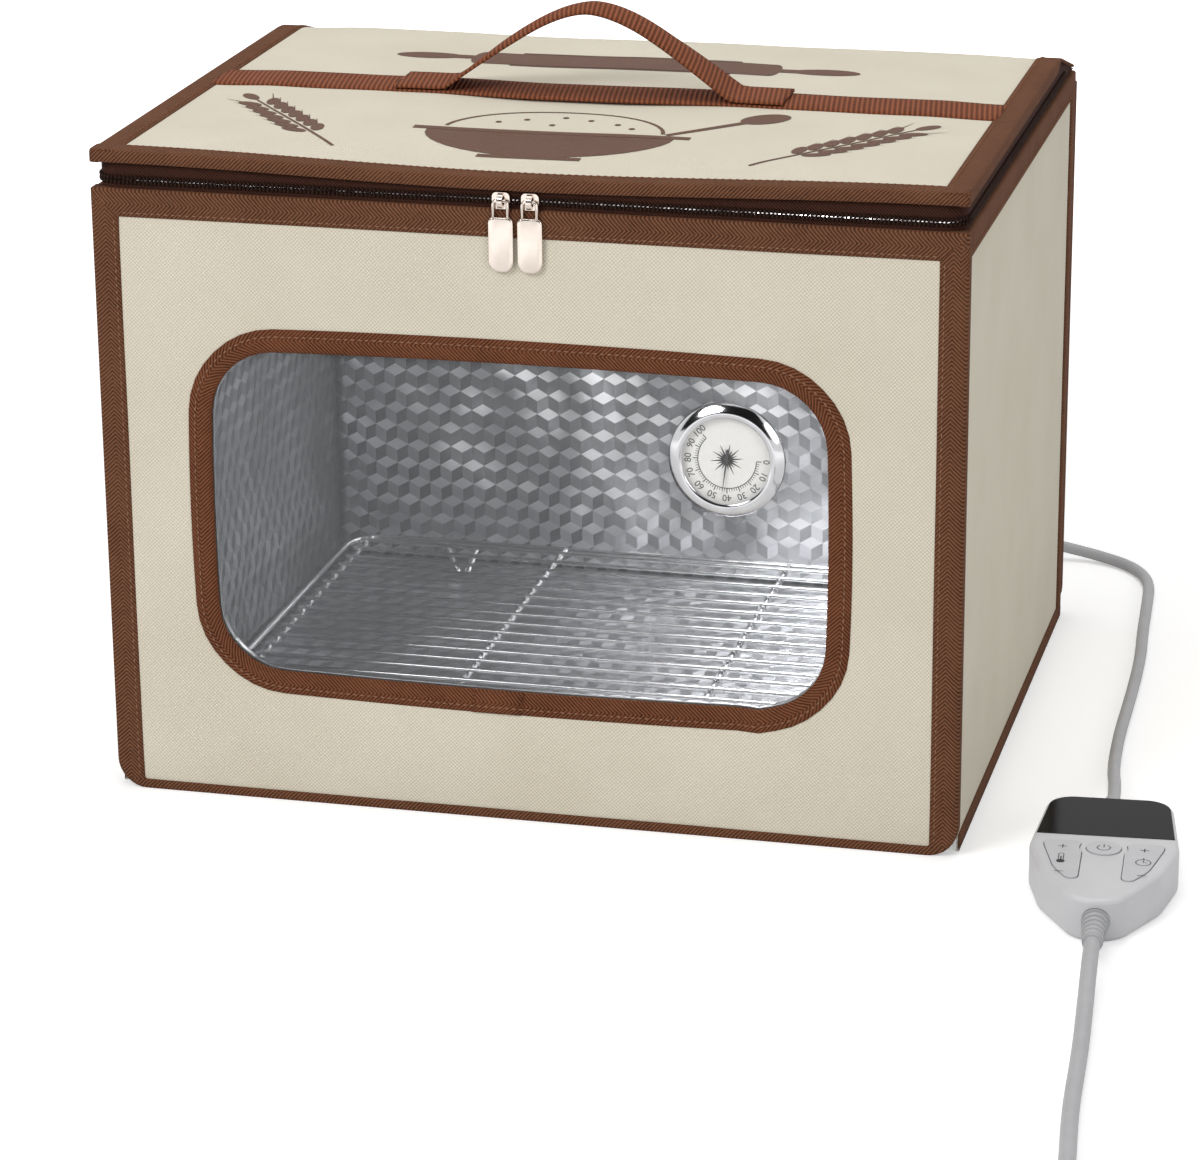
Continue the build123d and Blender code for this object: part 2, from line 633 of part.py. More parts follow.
def controller_shells():
    full = controller_outline()
    hollow = offset(full, -CONTROLLER_WALL)
    base = extrude(full, amount=SEAM_HEIGHT)
    base = fillet(base.faces().sort_by(Axis.Z)[0].edges(), CONTROLLER_ROUND)
    base -= Pos(0, 0, CONTROLLER_WALL) * extrude(hollow, amount=SEAM_HEIGHT)
    post = BOARD_HEIGHT - CONTROLLER_WALL
    for y in (CONTROLLER_LENGTH * 0.3, 0, -CONTROLLER_LENGTH * 0.3):
        base += Pos(0, y, CONTROLLER_WALL + post / 2) * Cylinder(CONTROLLER_WALL, post)
    high = CONTROLLER_HEIGHT - SEAM_HEIGHT
    shell = Pos(0, 0, SEAM_HEIGHT) * extrude(full, amount=high)
    shell = fillet(shell.faces().sort_by(Axis.Z)[-1].edges(), CONTROLLER_ROUND)
    shell -= Pos(0, 0, SEAM_HEIGHT) * extrude(hollow, amount=high - CONTROLLER_WALL)
    seat = Pos(0, 0, CONTROLLER_WALL) * Cylinder(RELIEF_ROOT + KEY_GAP, 2 * CONTROLLER_WALL)
    seat += Cylinder(RELIEF_NECK + KEY_GAP, 4 * CONTROLLER_WALL)
    for plane in relief_planes():
        base -= plane * seat
        shell -= plane * seat
    pad = extrude(pad_outline(KEY_GAP), amount=CONTROLLER_HEIGHT)
    shell -= Pos(0, 0, key_low) * both_sides(pad)
    hole = extrude(Circle(BUTTON_RADIUS + KEY_GAP), amount=CONTROLLER_HEIGHT)
    shell -= Pos(0, BUTTON_Y, key_low) * hole
    glass = offset(full, -DISPLAY_INSET)
    glass &= Pos(0, DISPLAY_EDGE + CONTROLLER_LENGTH / 2) * Rectangle(*[CONTROLLER_LENGTH] * 2)
    low = Pos(0, 0, CONTROLLER_HEIGHT - DISPLAY_THICK)
    shell -= low * extrude(glass, amount=CONTROLLER_HEIGHT)
    display = low * extrude(glass, amount=DISPLAY_THICK + DISPLAY_PROUD)
    save("controller_base", controller_place(base))
    save("controller_cover", controller_place(shell))
    save("controller_display", controller_place(display))


def controller_board():
    """The board, with the posts that the button and the two rockers work on."""
    sheet = offset(controller_outline(), -CONTROLLER_WALL - GAP)
    sheet &= Rectangle(CONTROLLER_WIDTH, CONTROLLER_LENGTH * 0.8)
    board = Pos(0, 0, BOARD_HEIGHT) * extrude(sheet, amount=BOARD)
    tall = rocker_axle - ROCKER_PIN - GAP - board_top
    for side in (-1, 1):
        place = Pos(side * pad_x, pad_y, board_top + tall / 2)
        board += place * Cylinder(CONTROLLER_WALL, tall)
    tall = key_low - BUTTON_TRAVEL - GAP - board_top
    board += Pos(0, BUTTON_Y, board_top + tall / 2) * Cylinder(CONTROLLER_WALL, tall)
    save("controller_board", controller_place(board))


def controller_keys():
    high = BUTTON_DEEP + BUTTON_PROUD
    button = Pos(0, BUTTON_Y, key_low) * extrude(Circle(BUTTON_RADIUS), amount=high)
    save("power_button", controller_place(button))
    pad = Pos(0, 0, key_low) * extrude(pad_outline(0), amount=high)
    pin = Pos(pad_x, pad_y, rocker_axle) * Rot(0, 90, 0) * Cylinder(ROCKER_PIN, PAD_ROUND * 2)
    save("time_rocker", controller_place(pad + pin))
    save("temperature_rocker", controller_place(mirror(pad + pin, about=Plane.YZ)))


def controller_reliefs():
    ends = zip(relief_planes(), ("upper", "lower"), (UPPER_RELIEF, LOWER_RELIEF))
    for (plane, name, length), lead in zip(ends, (HEATER_LEAD, MAINS_LEAD)):
        piece = relief(length + RELIEF_SEAT, RELIEF_ROOT, lead / 2 + LINER, RELIEF_RIBS)
        piece += Pos(0, 0, -CONTROLLER_WALL) * Cylinder(RELIEF_NECK, 2 * CONTROLLER_WALL)
        save(f"relief_{name}", controller_place(plane * piece))


def heater_lead():
    """From the boot behind the box, round its right rear corner, to the controller's head."""
    end = CONTROLLER_LENGTH / 2 + UPPER_RELIEF
    lying = HEATER_LEAD / 2
    leave = cover_y + GROMMET_FLANGE_THICK + BOOT_LENGTH
    route = [
        (GROMMET_X, leave, GROMMET_Z),
        (GROMMET_X, leave + 25, GROMMET_Z),
        (162, 241, 16),
        (183, 253, 8.5),
        (207, 253, 4),
        (228, 241, lying),
        (240, 219, lying),
        (243, 184, lying),
        (246, 140, lying),
        (250, 98, lying),
        (252, 42, lying),
        (253, -12, lying),
        (256.5, -60, lying + 1.5),
        controller_point(end + 18, SEAM_HEIGHT),
        controller_point(end, SEAM_HEIGHT),
    ]
    save("heater_lead", cord(route, HEATER_LEAD))


lying = MAINS_LEAD / 2
coil_start = Vector(COIL_X + COIL_RADIUS, COIL_Y, lying)


def mains_lead():
    """From the controller's tail to the start of the coil."""
    end = CONTROLLER_LENGTH / 2 + LOWER_RELIEF
    route = [
        controller_point(-end, SEAM_HEIGHT),
        controller_point(-end - 18, SEAM_HEIGHT),
        (279, -322, lying + 1.5),
        (283, -368, lying),
        (286, -418, lying),
        (292, -470, lying),
        (297, -524, lying),
        (coil_start.X, COIL_Y + 40, lying),
        tuple(coil_start),
    ]
    save("mains_lead", cord(route, MAINS_LEAD))


def coil_turns():
    """Half turns in along the floor layer, one that climbs, and out along the upper layer."""
    inner = COIL_HALF_TURNS // 2 - 1
    crossings = []
    for n in range(COIL_HALF_TURNS + 1):
        steps = n if n <= inner else 2 * inner + 1 - n
        side = 1 if n % 2 == 0 else -1
        radius = COIL_RADIUS - steps * COIL_PITCH / 2
        height = lying if n <= inner else lying + COIL_RISE
        crossings.append((Vector(COIL_X + side * radius, COIL_Y, height), Vector(0, -side, 0)))
    turns = []
    for (start, heading), (end, _) in zip(crossings, crossings[1:]):
        top = (start + end) / 2 + heading * ((end - start).length / 2)
        turns.append(ThreePointArc(start, top, end))
    return turns, crossings[-1][0]


def self_gap(path, diameter):
    """The least gap between stretches of one cord that lie apart along it."""
    count = int(path.length / 4)
    places = [path @ (n / count) for n in range(count + 1)]
    apart = int(3 * diameter / 4)
    pairs = ((a, b) for n, a in enumerate(places) for b in places[n + apart:])
    return min((a - b).length for a, b in pairs) - diameter


def mains_coil():
    turns, last = coil_turns()
    x, y, z = tuple(last)
    half_plug = PLUG_HEIGHT / 2
    tail = [
        (x, y, z),
        (x, y - 24, z),
        (x - 11, y - 50, z - 4),
        (x - 35, y - 66, half_plug - 3),
        (x - 63, y - 69, half_plug),
        (x - 79, y - 70, half_plug),
    ]
    edges = [edge for turn in turns for edge in turn.edges()]
    save("mains_coil", cord(tail, MAINS_LEAD, edges))
    print("coil gap", round(self_gap(Wire(edges), MAINS_LEAD), 2))
    return Vector(*tail[-1]), Vector(*tail[-1]) - Vector(*tail[-2])


def plug(place, heading):
    """A moulded two-blade plug on the end of the lead."""
    axis = Plane(origin=place, x_dir=(0, 0, 1), z_dir=heading)
    boot = relief(PLUG_RELIEF, RELIEF_ROOT, MAINS_LEAD / 2 + LINER, RELIEF_RIBS)
    body = mirror(boot, about=Plane.XY)
    face = RectangleRounded(PLUG_HEIGHT, PLUG_WIDTH, PLUG_HEIGHT / 3)
    back = RectangleRounded(PLUG_HEIGHT, PLUG_WIDTH * 0.7, PLUG_HEIGHT / 3)
    body += loft([back.face(), (Pos(0, 0, PLUG_LENGTH) * face).face()])
    save("plug_body", axis * Pos(0, 0, PLUG_RELIEF) * body)
    blade = Pos(0, 0, BLADE_LENGTH / 2) * Box(BLADE_WIDTH, BLADE_THICK, BLADE_LENGTH)
    blade = chamfer(blade.faces().sort_by(Axis.Z)[-1].edges(), BLADE_THICK / 4)
    pair = [Pos(0, side * BLADE_PITCH / 2, 0) * blade for side in (-1, 1)]
    save("plug_blades", axis * Pos(0, 0, PLUG_RELIEF + PLUG_LENGTH) * (Part() + pair))


os.makedirs("parts", exist_ok=True)
front_layers()
save("front_binding", panel_binding(RIM_HEIGHT, TAPE_WIDTH))
back_layers()
side_layers()
floor_layers()
zippers()
sliders()
lid_sheets()
hinge_tape()
strap()
handle()
rack()
humidity_dial()
grommet()
controller_shells()
controller_board()
controller_keys()
controller_reliefs()
heater_lead()
mains_lead()
plug(*mains_coil())
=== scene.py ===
# %% [markdown]
# A folding dough proofer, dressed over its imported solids. The real one is a cream fabric box with
# brown tape on every edge, a clear window with a humidity dial, foil inside, a zipped lid with a
# webbing handle, a wire rack, and a lead with a hand controller. The solids give places and
# sizes, so every piece here is made in the same frame, in millimetres first and metres at the end.

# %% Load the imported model
from math import atan2, cos, degrees, pi, radians, sin, sqrt, tan

import bmesh
import bpy
from mathutils import Matrix, Vector, noise

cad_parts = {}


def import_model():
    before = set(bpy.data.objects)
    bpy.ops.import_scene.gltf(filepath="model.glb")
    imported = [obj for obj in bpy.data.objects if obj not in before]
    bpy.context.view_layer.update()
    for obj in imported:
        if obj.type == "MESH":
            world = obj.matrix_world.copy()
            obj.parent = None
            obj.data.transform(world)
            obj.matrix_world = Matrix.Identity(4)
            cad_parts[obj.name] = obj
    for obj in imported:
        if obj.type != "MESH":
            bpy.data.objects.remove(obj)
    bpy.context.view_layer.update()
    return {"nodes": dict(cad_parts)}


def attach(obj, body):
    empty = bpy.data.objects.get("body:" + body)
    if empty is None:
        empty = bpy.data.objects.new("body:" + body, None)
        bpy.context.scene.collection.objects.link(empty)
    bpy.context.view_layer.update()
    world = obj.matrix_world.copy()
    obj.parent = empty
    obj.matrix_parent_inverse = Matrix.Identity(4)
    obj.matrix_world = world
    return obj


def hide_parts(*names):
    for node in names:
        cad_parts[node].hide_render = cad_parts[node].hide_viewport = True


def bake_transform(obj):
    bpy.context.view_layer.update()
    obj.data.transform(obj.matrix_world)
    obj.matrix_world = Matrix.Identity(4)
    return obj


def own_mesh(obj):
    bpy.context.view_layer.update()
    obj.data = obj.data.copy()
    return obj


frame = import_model()
nodes = frame["nodes"]
MM = 0.001

# %% [markdown]
# The measures that several pieces share are named once. All are millimetres. X and Z count from
# the middle of the box's front at the floor, and Y from its middle.

# %% Measures
HALF_WIDTH, HALF_DEPTH = 200, 170
RIM, BACK_RIM = 290, 283.7  # top edges of the front panel and of the back panel
CORNER = 14  # the panels' low corners are round
TAPE, HEM = 12.5, 4  # what shows of the tape, and of the tape along the bottom
CLOTH, LINING = 169.2, 163.1  # how far out the panels' cloth and the lining lie
WINDOW_X, WINDOW_Z, WINDOW_WIDE, WINDOW_HIGH, WINDOW_ROUND = -4, 141, 141.5, 76, 29
DIAL_X, DIAL_Z = 93.5, 181
COIL_LINE, TOOTH, ZIP_FOOT = 294.2, 1.9, 288.5  # middle of the coil, its pitch, tape's low edge
LID_TOP, LID_BOTTOM, SLOPE = 307.9, 302.0, radians(15.72)
STRAP_Y, HANDLE_X = -14, -5
print("box", 2 * HALF_WIDTH, 2 * HALF_DEPTH, RIM)

# %% [markdown]
# The camera stands where the photograph was taken from. Its place, turn and lens come from
# fitting the box's corners, the window and the lead to the picture, so the first render can be
# laid over it.

# %% Camera
lens = bpy.data.cameras.new("photo_camera")
lens.lens, lens.sensor_width = 127.64, 36
camera = bpy.data.objects.new("photo_camera", lens)
bpy.context.scene.collection.objects.link(camera)
look = Matrix.Rotation(radians(14.045), 4, "Z") @ Matrix.Rotation(radians(70.789), 4, "X")
look = look @ Matrix.Rotation(radians(-0.510), 4, "Z")
camera.matrix_world = Matrix.Translation((0.47531, -1.92942, 0.75246)) @ look
bpy.context.scene.camera = camera
print("camera", [round(v, 3) for v in camera.location])

# %% [markdown]
# Materials come before shapes here, because each piece asks for one as it is made. A finish is a
# Principled shader whose colour and bump are worked out by a few Math nodes. These helpers keep
# each finish to a few lines: one makes the shader, one adds a node, one does arithmetic. The
# world at the end is wired with the same ones.


# %% Shader helpers
def linear(code):
    """A colour as Blender counts it, from the hexadecimal code that a screen shows."""
    parts = [int(code[n:n + 2], 16) / 255 for n in (0, 2, 4)]
    return [c / 12.92 if c < 0.04045 else ((c + 0.055) / 1.055) ** 2.4 for c in parts] + [1]


class Shading:
    """A tree of shader nodes under construction."""

    def __init__(self, tree):
        self.tree = tree

    def plug(self, socket, value):
        if isinstance(value, bpy.types.NodeSocket):
            self.tree.links.new(value, socket)
        else:
            socket.default_value = value

    def node(self, kind, settings=(), **inputs):
        made = self.tree.nodes.new("ShaderNode" + kind)
        for name, value in dict(settings).items():
            setattr(made, name, value)
        for name, value in inputs.items():
            self.plug(made.inputs[int(name[1:])], value)
        return made

    def calc(self, operation, *values):
        made = self.node("Math", {"operation": operation})
        for socket, value in zip(made.inputs, values):
            self.plug(socket, value)
        return made.outputs[0]


class Finish(Shading):
    """A material under construction."""

    def __init__(self, name, colour, roughness, metallic=0.0):
        self.material = bpy.data.materials.new(name)
        self.material.use_nodes = True
        super().__init__(self.material.node_tree)
        self.shader = self.tree.nodes["Principled BSDF"]
        self.set(**{"Base Color": linear(colour), "Roughness": roughness, "Metallic": metallic})
        self.places = self.node("TexCoord")

    def set(self, **values):
        for name, value in values.items():
            self.plug(self.shader.inputs[name], value)

    def vector(self, operation, *values):
        made = self.node("VectorMath", {"operation": operation})
        for socket, value in zip(made.inputs, values):
            self.plug(socket, value)
        return made.outputs[1 if operation in ("DOT_PRODUCT", "LENGTH") else 0]

    def uv(self):
        split = self.node("SeparateXYZ", i0=self.places.outputs["UV"])
        return split.outputs[0], split.outputs[1]

    def spots(self, size, detail=2.0, where="Object"):
        """Soft noise from 0 to 1, with patches of this size in metres."""
        made = self.node("TexNoise", i0=self.places.outputs[where])
        made.inputs["Scale"].default_value = 1 / size
        made.inputs["Detail"].default_value = detail
        return made.outputs[0]

    def wave(self, along, pitch):
        """A wave from 0 to 1, one rise for each pitch in metres."""
        turn = self.calc("SINE", self.calc("MULTIPLY", along, 2 * pi / pitch))
        return self.calc("MULTIPLY_ADD", turn, 0.5, 0.5)

    def between(self, share, low, high):
        """The colour part of the way from one code to another."""
        made = self.node("Mix", {"data_type": "RGBA"}, i0=share)
        for socket, code in ((made.inputs[6], low), (made.inputs[7], high)):
            self.plug(socket, linear(code) if isinstance(code, str) else code)
        return made.outputs[2]

    def bump(self, height, depth, strength=1.0, under=None):
        made = self.node("Bump")
        made.inputs["Distance"].default_value = depth
        made.inputs["Strength"].default_value = strength
        self.plug(made.inputs["Height"], height)
        if under is not None:
            self.plug(made.inputs["Normal"], under)
        return made.outputs[0]


# %% [markdown]
# The cover is a plain-woven polyester with a visible over-and-under grain. Two crossed waves
# give the grain, and broad faint noise keeps the cloth from looking printed. The colour is
# also painted darker where the weave lies low: painted shade in its hollows.


# %% Cream cloth
def woven(name, light, dark, pitch, grain=0.00025):
    cloth = Finish(name, light, 0.85)
    u, v = cloth.uv()
    over = cloth.calc("MULTIPLY", cloth.wave(u, pitch), cloth.wave(v, pitch))
    under = cloth.calc("SUBTRACT", 1.0, cloth.wave(u, pitch))
    under = cloth.calc("MULTIPLY", under, cloth.calc("SUBTRACT", 1.0, cloth.wave(v, pitch)))
    weave = cloth.calc("ADD", over, under)
    patch = cloth.spots(0.05, 3.0)
    # Painted shade: the colour darkens where the weave is low, in the hollows of the grain.
    shade = cloth.calc("MULTIPLY_ADD", weave, -0.9, 0.75)
    shade = cloth.calc("MULTIPLY_ADD", patch, 0.4, shade)
    cloth.set(**{"Base Color": cloth.between(shade, light, dark)})
    soft = cloth.bump(cloth.spots(0.03), 0.0012, 0.35)
    cloth.set(Normal=cloth.bump(weave, grain, 0.7, soft))
    cloth.set(**{"Sheen Weight": 0.12, "Sheen Roughness": 0.5, "Specular IOR Level": 0.3})
    return cloth.material


cream = woven("cream_cloth", "E8E1D1", "C2B9A2", 0.0018)
print(cream.name)

# %% [markdown]
# The edges are bound in herringbone tape: fine diagonal ribs that turn back in the middle. The
# tape's own map runs along it and across it in metres, so folding the pattern about the middle
# is one absolute value. The webbing of the strap is coarser, with ribs across it. In every tape
# the colour is painted darker where the ribs lie low: painted shade in the grooves.


# %% Tape and webbing
def twill(name, light, dark, pitch, middle, depth, lean=1.0):
    tape = Finish(name, light, 0.85)
    u, v = tape.uv()
    fold = tape.calc("ABSOLUTE", tape.calc("SUBTRACT", v, middle))
    rib = tape.wave(tape.calc("MULTIPLY_ADD", fold, lean, u), pitch)
    thread = tape.calc("MULTIPLY_ADD", tape.spots(0.0016), 0.4, tape.calc("MULTIPLY", rib, 0.8))
    # The rib pattern shows in the colour as painted shade: darker where the threads lie low.
    shade = tape.calc("MULTIPLY_ADD", tape.spots(0.02), 0.3, tape.calc("SUBTRACT", thread, 0.15))
    tape.set(**{"Base Color": tape.between(shade, dark, light)})
    tape.set(Normal=tape.bump(thread, depth, 1.0))
    tape.set(**{"Specular IOR Level": 0.12})
    return tape.material


brown_tape = twill("brown_tape", "84583F", "2E1A10", 0.0019, 0.00625, 0.0005)
window_tape = twill("window_tape", "875338", "2C160E", 0.0019, 0.0055, 0.0005)
webbing = twill("webbing", "975A3F", "4C2818", 0.0024, 0.0, 0.0007, 0.15)
zip_tape = twill("zipper_tape", "4A2B20", "140A07", 0.0016, 0.0, 0.0003)
print(brown_tape.name, window_tape.name, webbing.name, zip_tape.name)

# %% [markdown]
# The lining is padding faced with foil, embossed with small tumbling blocks: hexagons of three
# rhombi, each leaning its own way. For the nearest hexagon middle, the height is least along
# whichever of three directions leads there, and the bump turns that into three flat slopes.
# The colour is painted too: each rhombus lighter or darker by the way it leans, as painted
# shade and highlight, broad patches brighter and darker as painted reflection, and the whole
# sheet darker towards the left as painted shade. The side walls get a darker copy: painted shade.


# %% Foil
def nearest(sheet, flat, shift):
    """For one lattice of hexagons: how far the middle is, the height, and the rhombus's painted
    shade.
    """
    half = (0.5, sqrt(3) / 2, 0.5)
    near = sheet.vector("WRAP", sheet.vector("ADD", flat, shift), half, tuple(-v for v in half))
    near = sheet.vector("MULTIPLY", near, (1, 1, 0))
    ways = [(cos(radians(a)), sin(radians(a)), 0) for a in (90, 210, 330)]
    lean = [sheet.vector("DOT_PRODUCT", near, way) for way in ways]
    lower = sheet.calc("MAXIMUM", lean[1], lean[2])
    top = sheet.calc("MULTIPLY", sheet.calc("MAXIMUM", lean[0], lower), -1.0)
    # Painted shade and highlight: each rhombus gets its own flat tone by the way it leans.
    upper_face = sheet.calc("GREATER_THAN", lean[0], lower)
    left_face = sheet.calc("GREATER_THAN", lean[1], lean[2])
    facet_shade = sheet.calc("MULTIPLY_ADD", left_face, 0.45, 0.1)
    rest = sheet.calc("SUBTRACT", 1.0, facet_shade)
    return (sheet.vector("LENGTH", near), top,
            sheet.calc("MULTIPLY_ADD", rest, upper_face, facet_shade))


def foil(name, cell, crease, dark, light, contrast):
    sheet = Finish(name, light, 0.3, 1.0)
    flat = sheet.vector("SCALE", sheet.places.outputs["UV"])
    flat.node.inputs["Scale"].default_value = 1 / cell
    one = nearest(sheet, flat, (0, 0, 0))
    other = nearest(sheet, flat, (0.5, sqrt(3) / 2, 0))
    first = sheet.calc("LESS_THAN", one[0], other[0])
    blocks, facet_shade = [
        sheet.calc("MULTIPLY_ADD", sheet.calc("SUBTRACT", a, b), first, b)
        for a, b in zip(one[1:], other[1:])]
    # Broad noise that crumples the foil and varies its roughness, and also paints brighter and
    # darker patches into its colour: painted reflection.
    crumples_and_painted_glare = sheet.spots(0.06, 2.0)
    # How strongly the rhombi's painted shade and highlight show, varied across the sheet.
    clear = sheet.calc("MULTIPLY_ADD", crumples_and_painted_glare, contrast * 3.0, -contrast * 0.75)
    clear = sheet.calc("MAXIMUM", clear, contrast * 0.2)
    # Painted shade: the foil's colour is darker towards the left and lighter towards the right.
    split = sheet.node("SeparateXYZ", i0=sheet.places.outputs["Object"])
    painted_shade_to_left = sheet.calc("MULTIPLY_ADD", split.outputs[0], 1.4, 0.46)
    shade = sheet.calc("MULTIPLY_ADD", crumples_and_painted_glare, 0.5, painted_shade_to_left)
    shade = sheet.calc("MULTIPLY_ADD", sheet.calc("SUBTRACT", facet_shade, 0.5), clear, shade)
    sheet.set(**{"Base Color": sheet.between(shade, dark, light)})
    rumple = sheet.bump(crumples_and_painted_glare, crease, 0.6)
    sheet.set(Normal=sheet.bump(blocks, cell * 0.16, 0.8, rumple))
    sheet.set(Roughness=sheet.calc("MULTIPLY_ADD", crumples_and_painted_glare, 0.2, 0.24))
    return sheet.material


foil_wall = foil("foil_wall", 0.012, 0.006, "47484C", "FBFBFD", 1.1)
# The wall foil made darker and flatter for the side walls and the front's lining: painted shade.
foil_side_painted_shade = foil("foil_side_painted_shade", 0.012, 0.002, "47484C", "B4B5B9", 0.4)
foil_floor = foil("foil_floor", 0.012, 0.002, "4C4D51", "E2E3E7", 0.5)
print(foil_wall.name, foil_side_painted_shade.name, foil_floor.name)


# %% [markdown]
# Hard finishes are simpler, but never one flat colour: chrome has faint smears in its gloss,
# moulded plastic a fine grain, and the printed brown is uneven as screen ink on cloth is.


# %% Hard finishes and print
def hard(name, colour, roughness, metallic=0.0, grain=0.0006, depth=0.00002, spread=0.08):
    made = Finish(name, colour, roughness, metallic)
    smear = made.spots(0.012, 3.0)
    made.set(Roughness=made.calc("MULTIPLY_ADD", smear, spread, roughness - spread / 2))
    made.set(Normal=made.bump(made.spots(grain), depth, 0.5))
    return made


def mottled(name, light, dark, roughness, size=0.004, **more):
    made = hard(name, light, roughness, **more)
    made.set(**{"Base Color": made.between(made.spots(size, 4.0), dark, light)})
    return made


chrome = mottled("chrome", "DCDCDE", "BEBEC1", 0.1, 0.01, metallic=1.0, spread=0.05).material
warm_chrome = mottled("warm_chrome", "E6DBD2", "CFC1B6", 0.14, 0.008, metallic=1.0).material
wire_metal = mottled("bright_wire", "E6E6E6", "B9BABC", 0.2, 0.006, metallic=1.0).material
brass = mottled("brass", "D9BE86", "AE9257", 0.25, metallic=1.0).material
moulded = mottled("pale_plastic", "CECED0", "C0C0C3", 0.38, 0.02).material
soft_rubber = mottled("lead_sheath", "B6B6B8", "A6A6A9", 0.5, 0.01).material
key_rubber = mottled("key_rubber", "C6C6C9", "BABABD", 0.55, 0.01).material
dark_mark = mottled("mark_ink", "1E1E21", "101012", 0.6, 0.001).material
card_white = mottled("dial_card_white", "F4F3F0", "E9E7E2", 0.6, 0.003).material
needle_black = mottled("needle_black", "1E1E20", "0C0C0D", 0.35, 0.002).material
circuit = mottled("circuit_board", "2E6B45", "1D4A30", 0.5, 0.006).material
film_grey = mottled("heating_film", "4A4A4C", "38383A", 0.5, 0.01).material
board_tan = mottled("stiffening_board", "C8B592", "AE9A76", 0.9, 0.008, depth=0.0001).material
ink = mottled("brown_print", "6E4A37", "452A1E", 0.75, 0.0012, depth=0.00006).material
thread = mottled("sewing_thread", "A3755A", "6E4732", 0.7, 0.0008).material
coil = mottled("zipper_coil", "3A2821", "150C08", 0.6, 0.002)
coil.set(**{"Specular IOR Level": 0.06})
glossy = hard("display_black", "050506", 0.07, spread=0.04)
glossy.set(**{"Specular IOR Level": 0.07})
coil_black, display_black = coil.material, glossy.material
print("finishes", len(bpy.data.materials))


# %% Clear sheets
def clear(name, alpha, tint):
    sheet = hard(name, tint, 0.06, depth=0.00001, spread=0.05)
    sheet.set(Alpha=alpha, IOR=1.45)
    return sheet.material


window_clear = clear("window_clear", 0.05, "F4F8FA")
lens_clear = clear("lens_clear", 0.04, "FFFFFF")
print(window_clear.name, lens_clear.name)

# %% [markdown]
# Next come the helpers for shapes. A bmesh is worked in millimetres and `finished` turns it into
# an object: scaled to metres, given its material and its body, with the solids it replaces
# hidden. `swept` is the main tool: it extrudes a row of edges from place to place and keeps a map
# that runs along and across the strip in metres, which is what the tape patterns need.


# %% Shape helpers
def finished(mesh, name, material, body, replaces=(), wall=0.0, smooth=True, soft=0):
    """Turn a bmesh in millimetres into a piece that rides on a body."""
    bmesh.ops.scale(mesh, vec=(MM, MM, MM), verts=mesh.verts)
    data = bpy.data.meshes.new(name)
    mesh.to_mesh(data)
    mesh.free()
    data.materials.append(material)
    data.polygons.foreach_set("use_smooth", [smooth] * len(data.polygons))
    piece = bpy.data.objects.new(name, data)
    bpy.context.scene.collection.objects.link(piece)
    if wall:
        solid = piece.modifiers.new("wall", "SOLIDIFY")
        solid.thickness, solid.offset = wall * MM, -1
    if soft:
        fine = piece.modifiers.new("soft", "SUBSURF")
        fine.levels = fine.render_levels = soft
    if body:
        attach(piece, body)
    if replaces:
        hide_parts(*replaces)
    print(name, len(data.polygons), "faces")
    return piece


def swept(mesh, sections, facing, closed=False):
    """Extrude a row of points through a row of sections, with a map along and across."""
    layer = mesh.loops.layers.uv.verify()
    row = [mesh.verts.new(point) for point in sections[0]]
    edges = [mesh.edges.new(pair) for pair in zip(row, row[1:])]
    middle = len(sections[0]) // 2
    along, across, faces = 0.0, {}, []
    for section in sections:
        width, widths = 0.0, [0.0]
        for a, b in zip(section, section[1:]):
            width += (Vector(b) - Vector(a)).length
            widths.append(width)
        if section is sections[0]:
            across.update({v: (0.0, w) for v, w in zip(row, widths)})
            before = section
            continue
        made = bmesh.ops.extrude_edge_only(mesh, edges=edges)["geom"]
        new = {g for g in made if isinstance(g, bmesh.types.BMVert)}
        row = [next(e.other_vert(v) for e in v.link_edges if e.other_vert(v) in new) for v in row]
        edges = [mesh.edges.get(pair) for pair in zip(row, row[1:])]
        faces += [g for g in made if isinstance(g, bmesh.types.BMFace)]
        along += (Vector(section[middle]) - Vector(before[middle])).length
        before = section
        for v, point, w in zip(row, section, widths):
            v.co = point
            across[v] = (along, w)
    for face in faces:
        for loop in face.loops:
            loop[layer].uv = Vector(across[loop.vert]) * MM
    face_to(mesh, faces, facing)
    if closed:
        bmesh.ops.remove_doubles(mesh, verts=mesh.verts, dist=0.001)


def grid(mesh, across, up, place, facing, closed=False):
    """Sweep a sheet whose points a function gives from two rows of values."""
    swept(mesh, [[Vector(place(a, b)) for b in up] for a in across], facing, closed)
    return mesh


def face_to(mesh, faces, facing):
    """Turn a sheet over if its first face looks away from where it should."""
    mesh.normal_update()
    biggest = max(faces, key=lambda face: face.calc_area())
    way = facing(biggest.calc_center_median()) if callable(facing) else facing
    if biggest.normal.dot(Vector(way)) < 0:
        bmesh.ops.reverse_faces(mesh, faces=faces)


def face_up(mesh):
    mesh.normal_update()
    for face in mesh.faces:
        if face.normal.z < 0:
            face.normal_flip()


def flat_map(mesh, right, up):
    """A map that reads straight off two axes, in metres."""
    layer = mesh.loops.layers.uv.verify()
    for face in mesh.faces:
        for loop in face.loops:
            loop[layer].uv = (loop.vert.co[right] * MM, loop.vert.co[up] * MM)


def steps(low, high, count):
    return [low + (high - low) * n / count for n in range(count + 1)]


def smooth_step(value):
    value = max(0.0, min(1.0, value))
    return value * value * (3 - 2 * value)


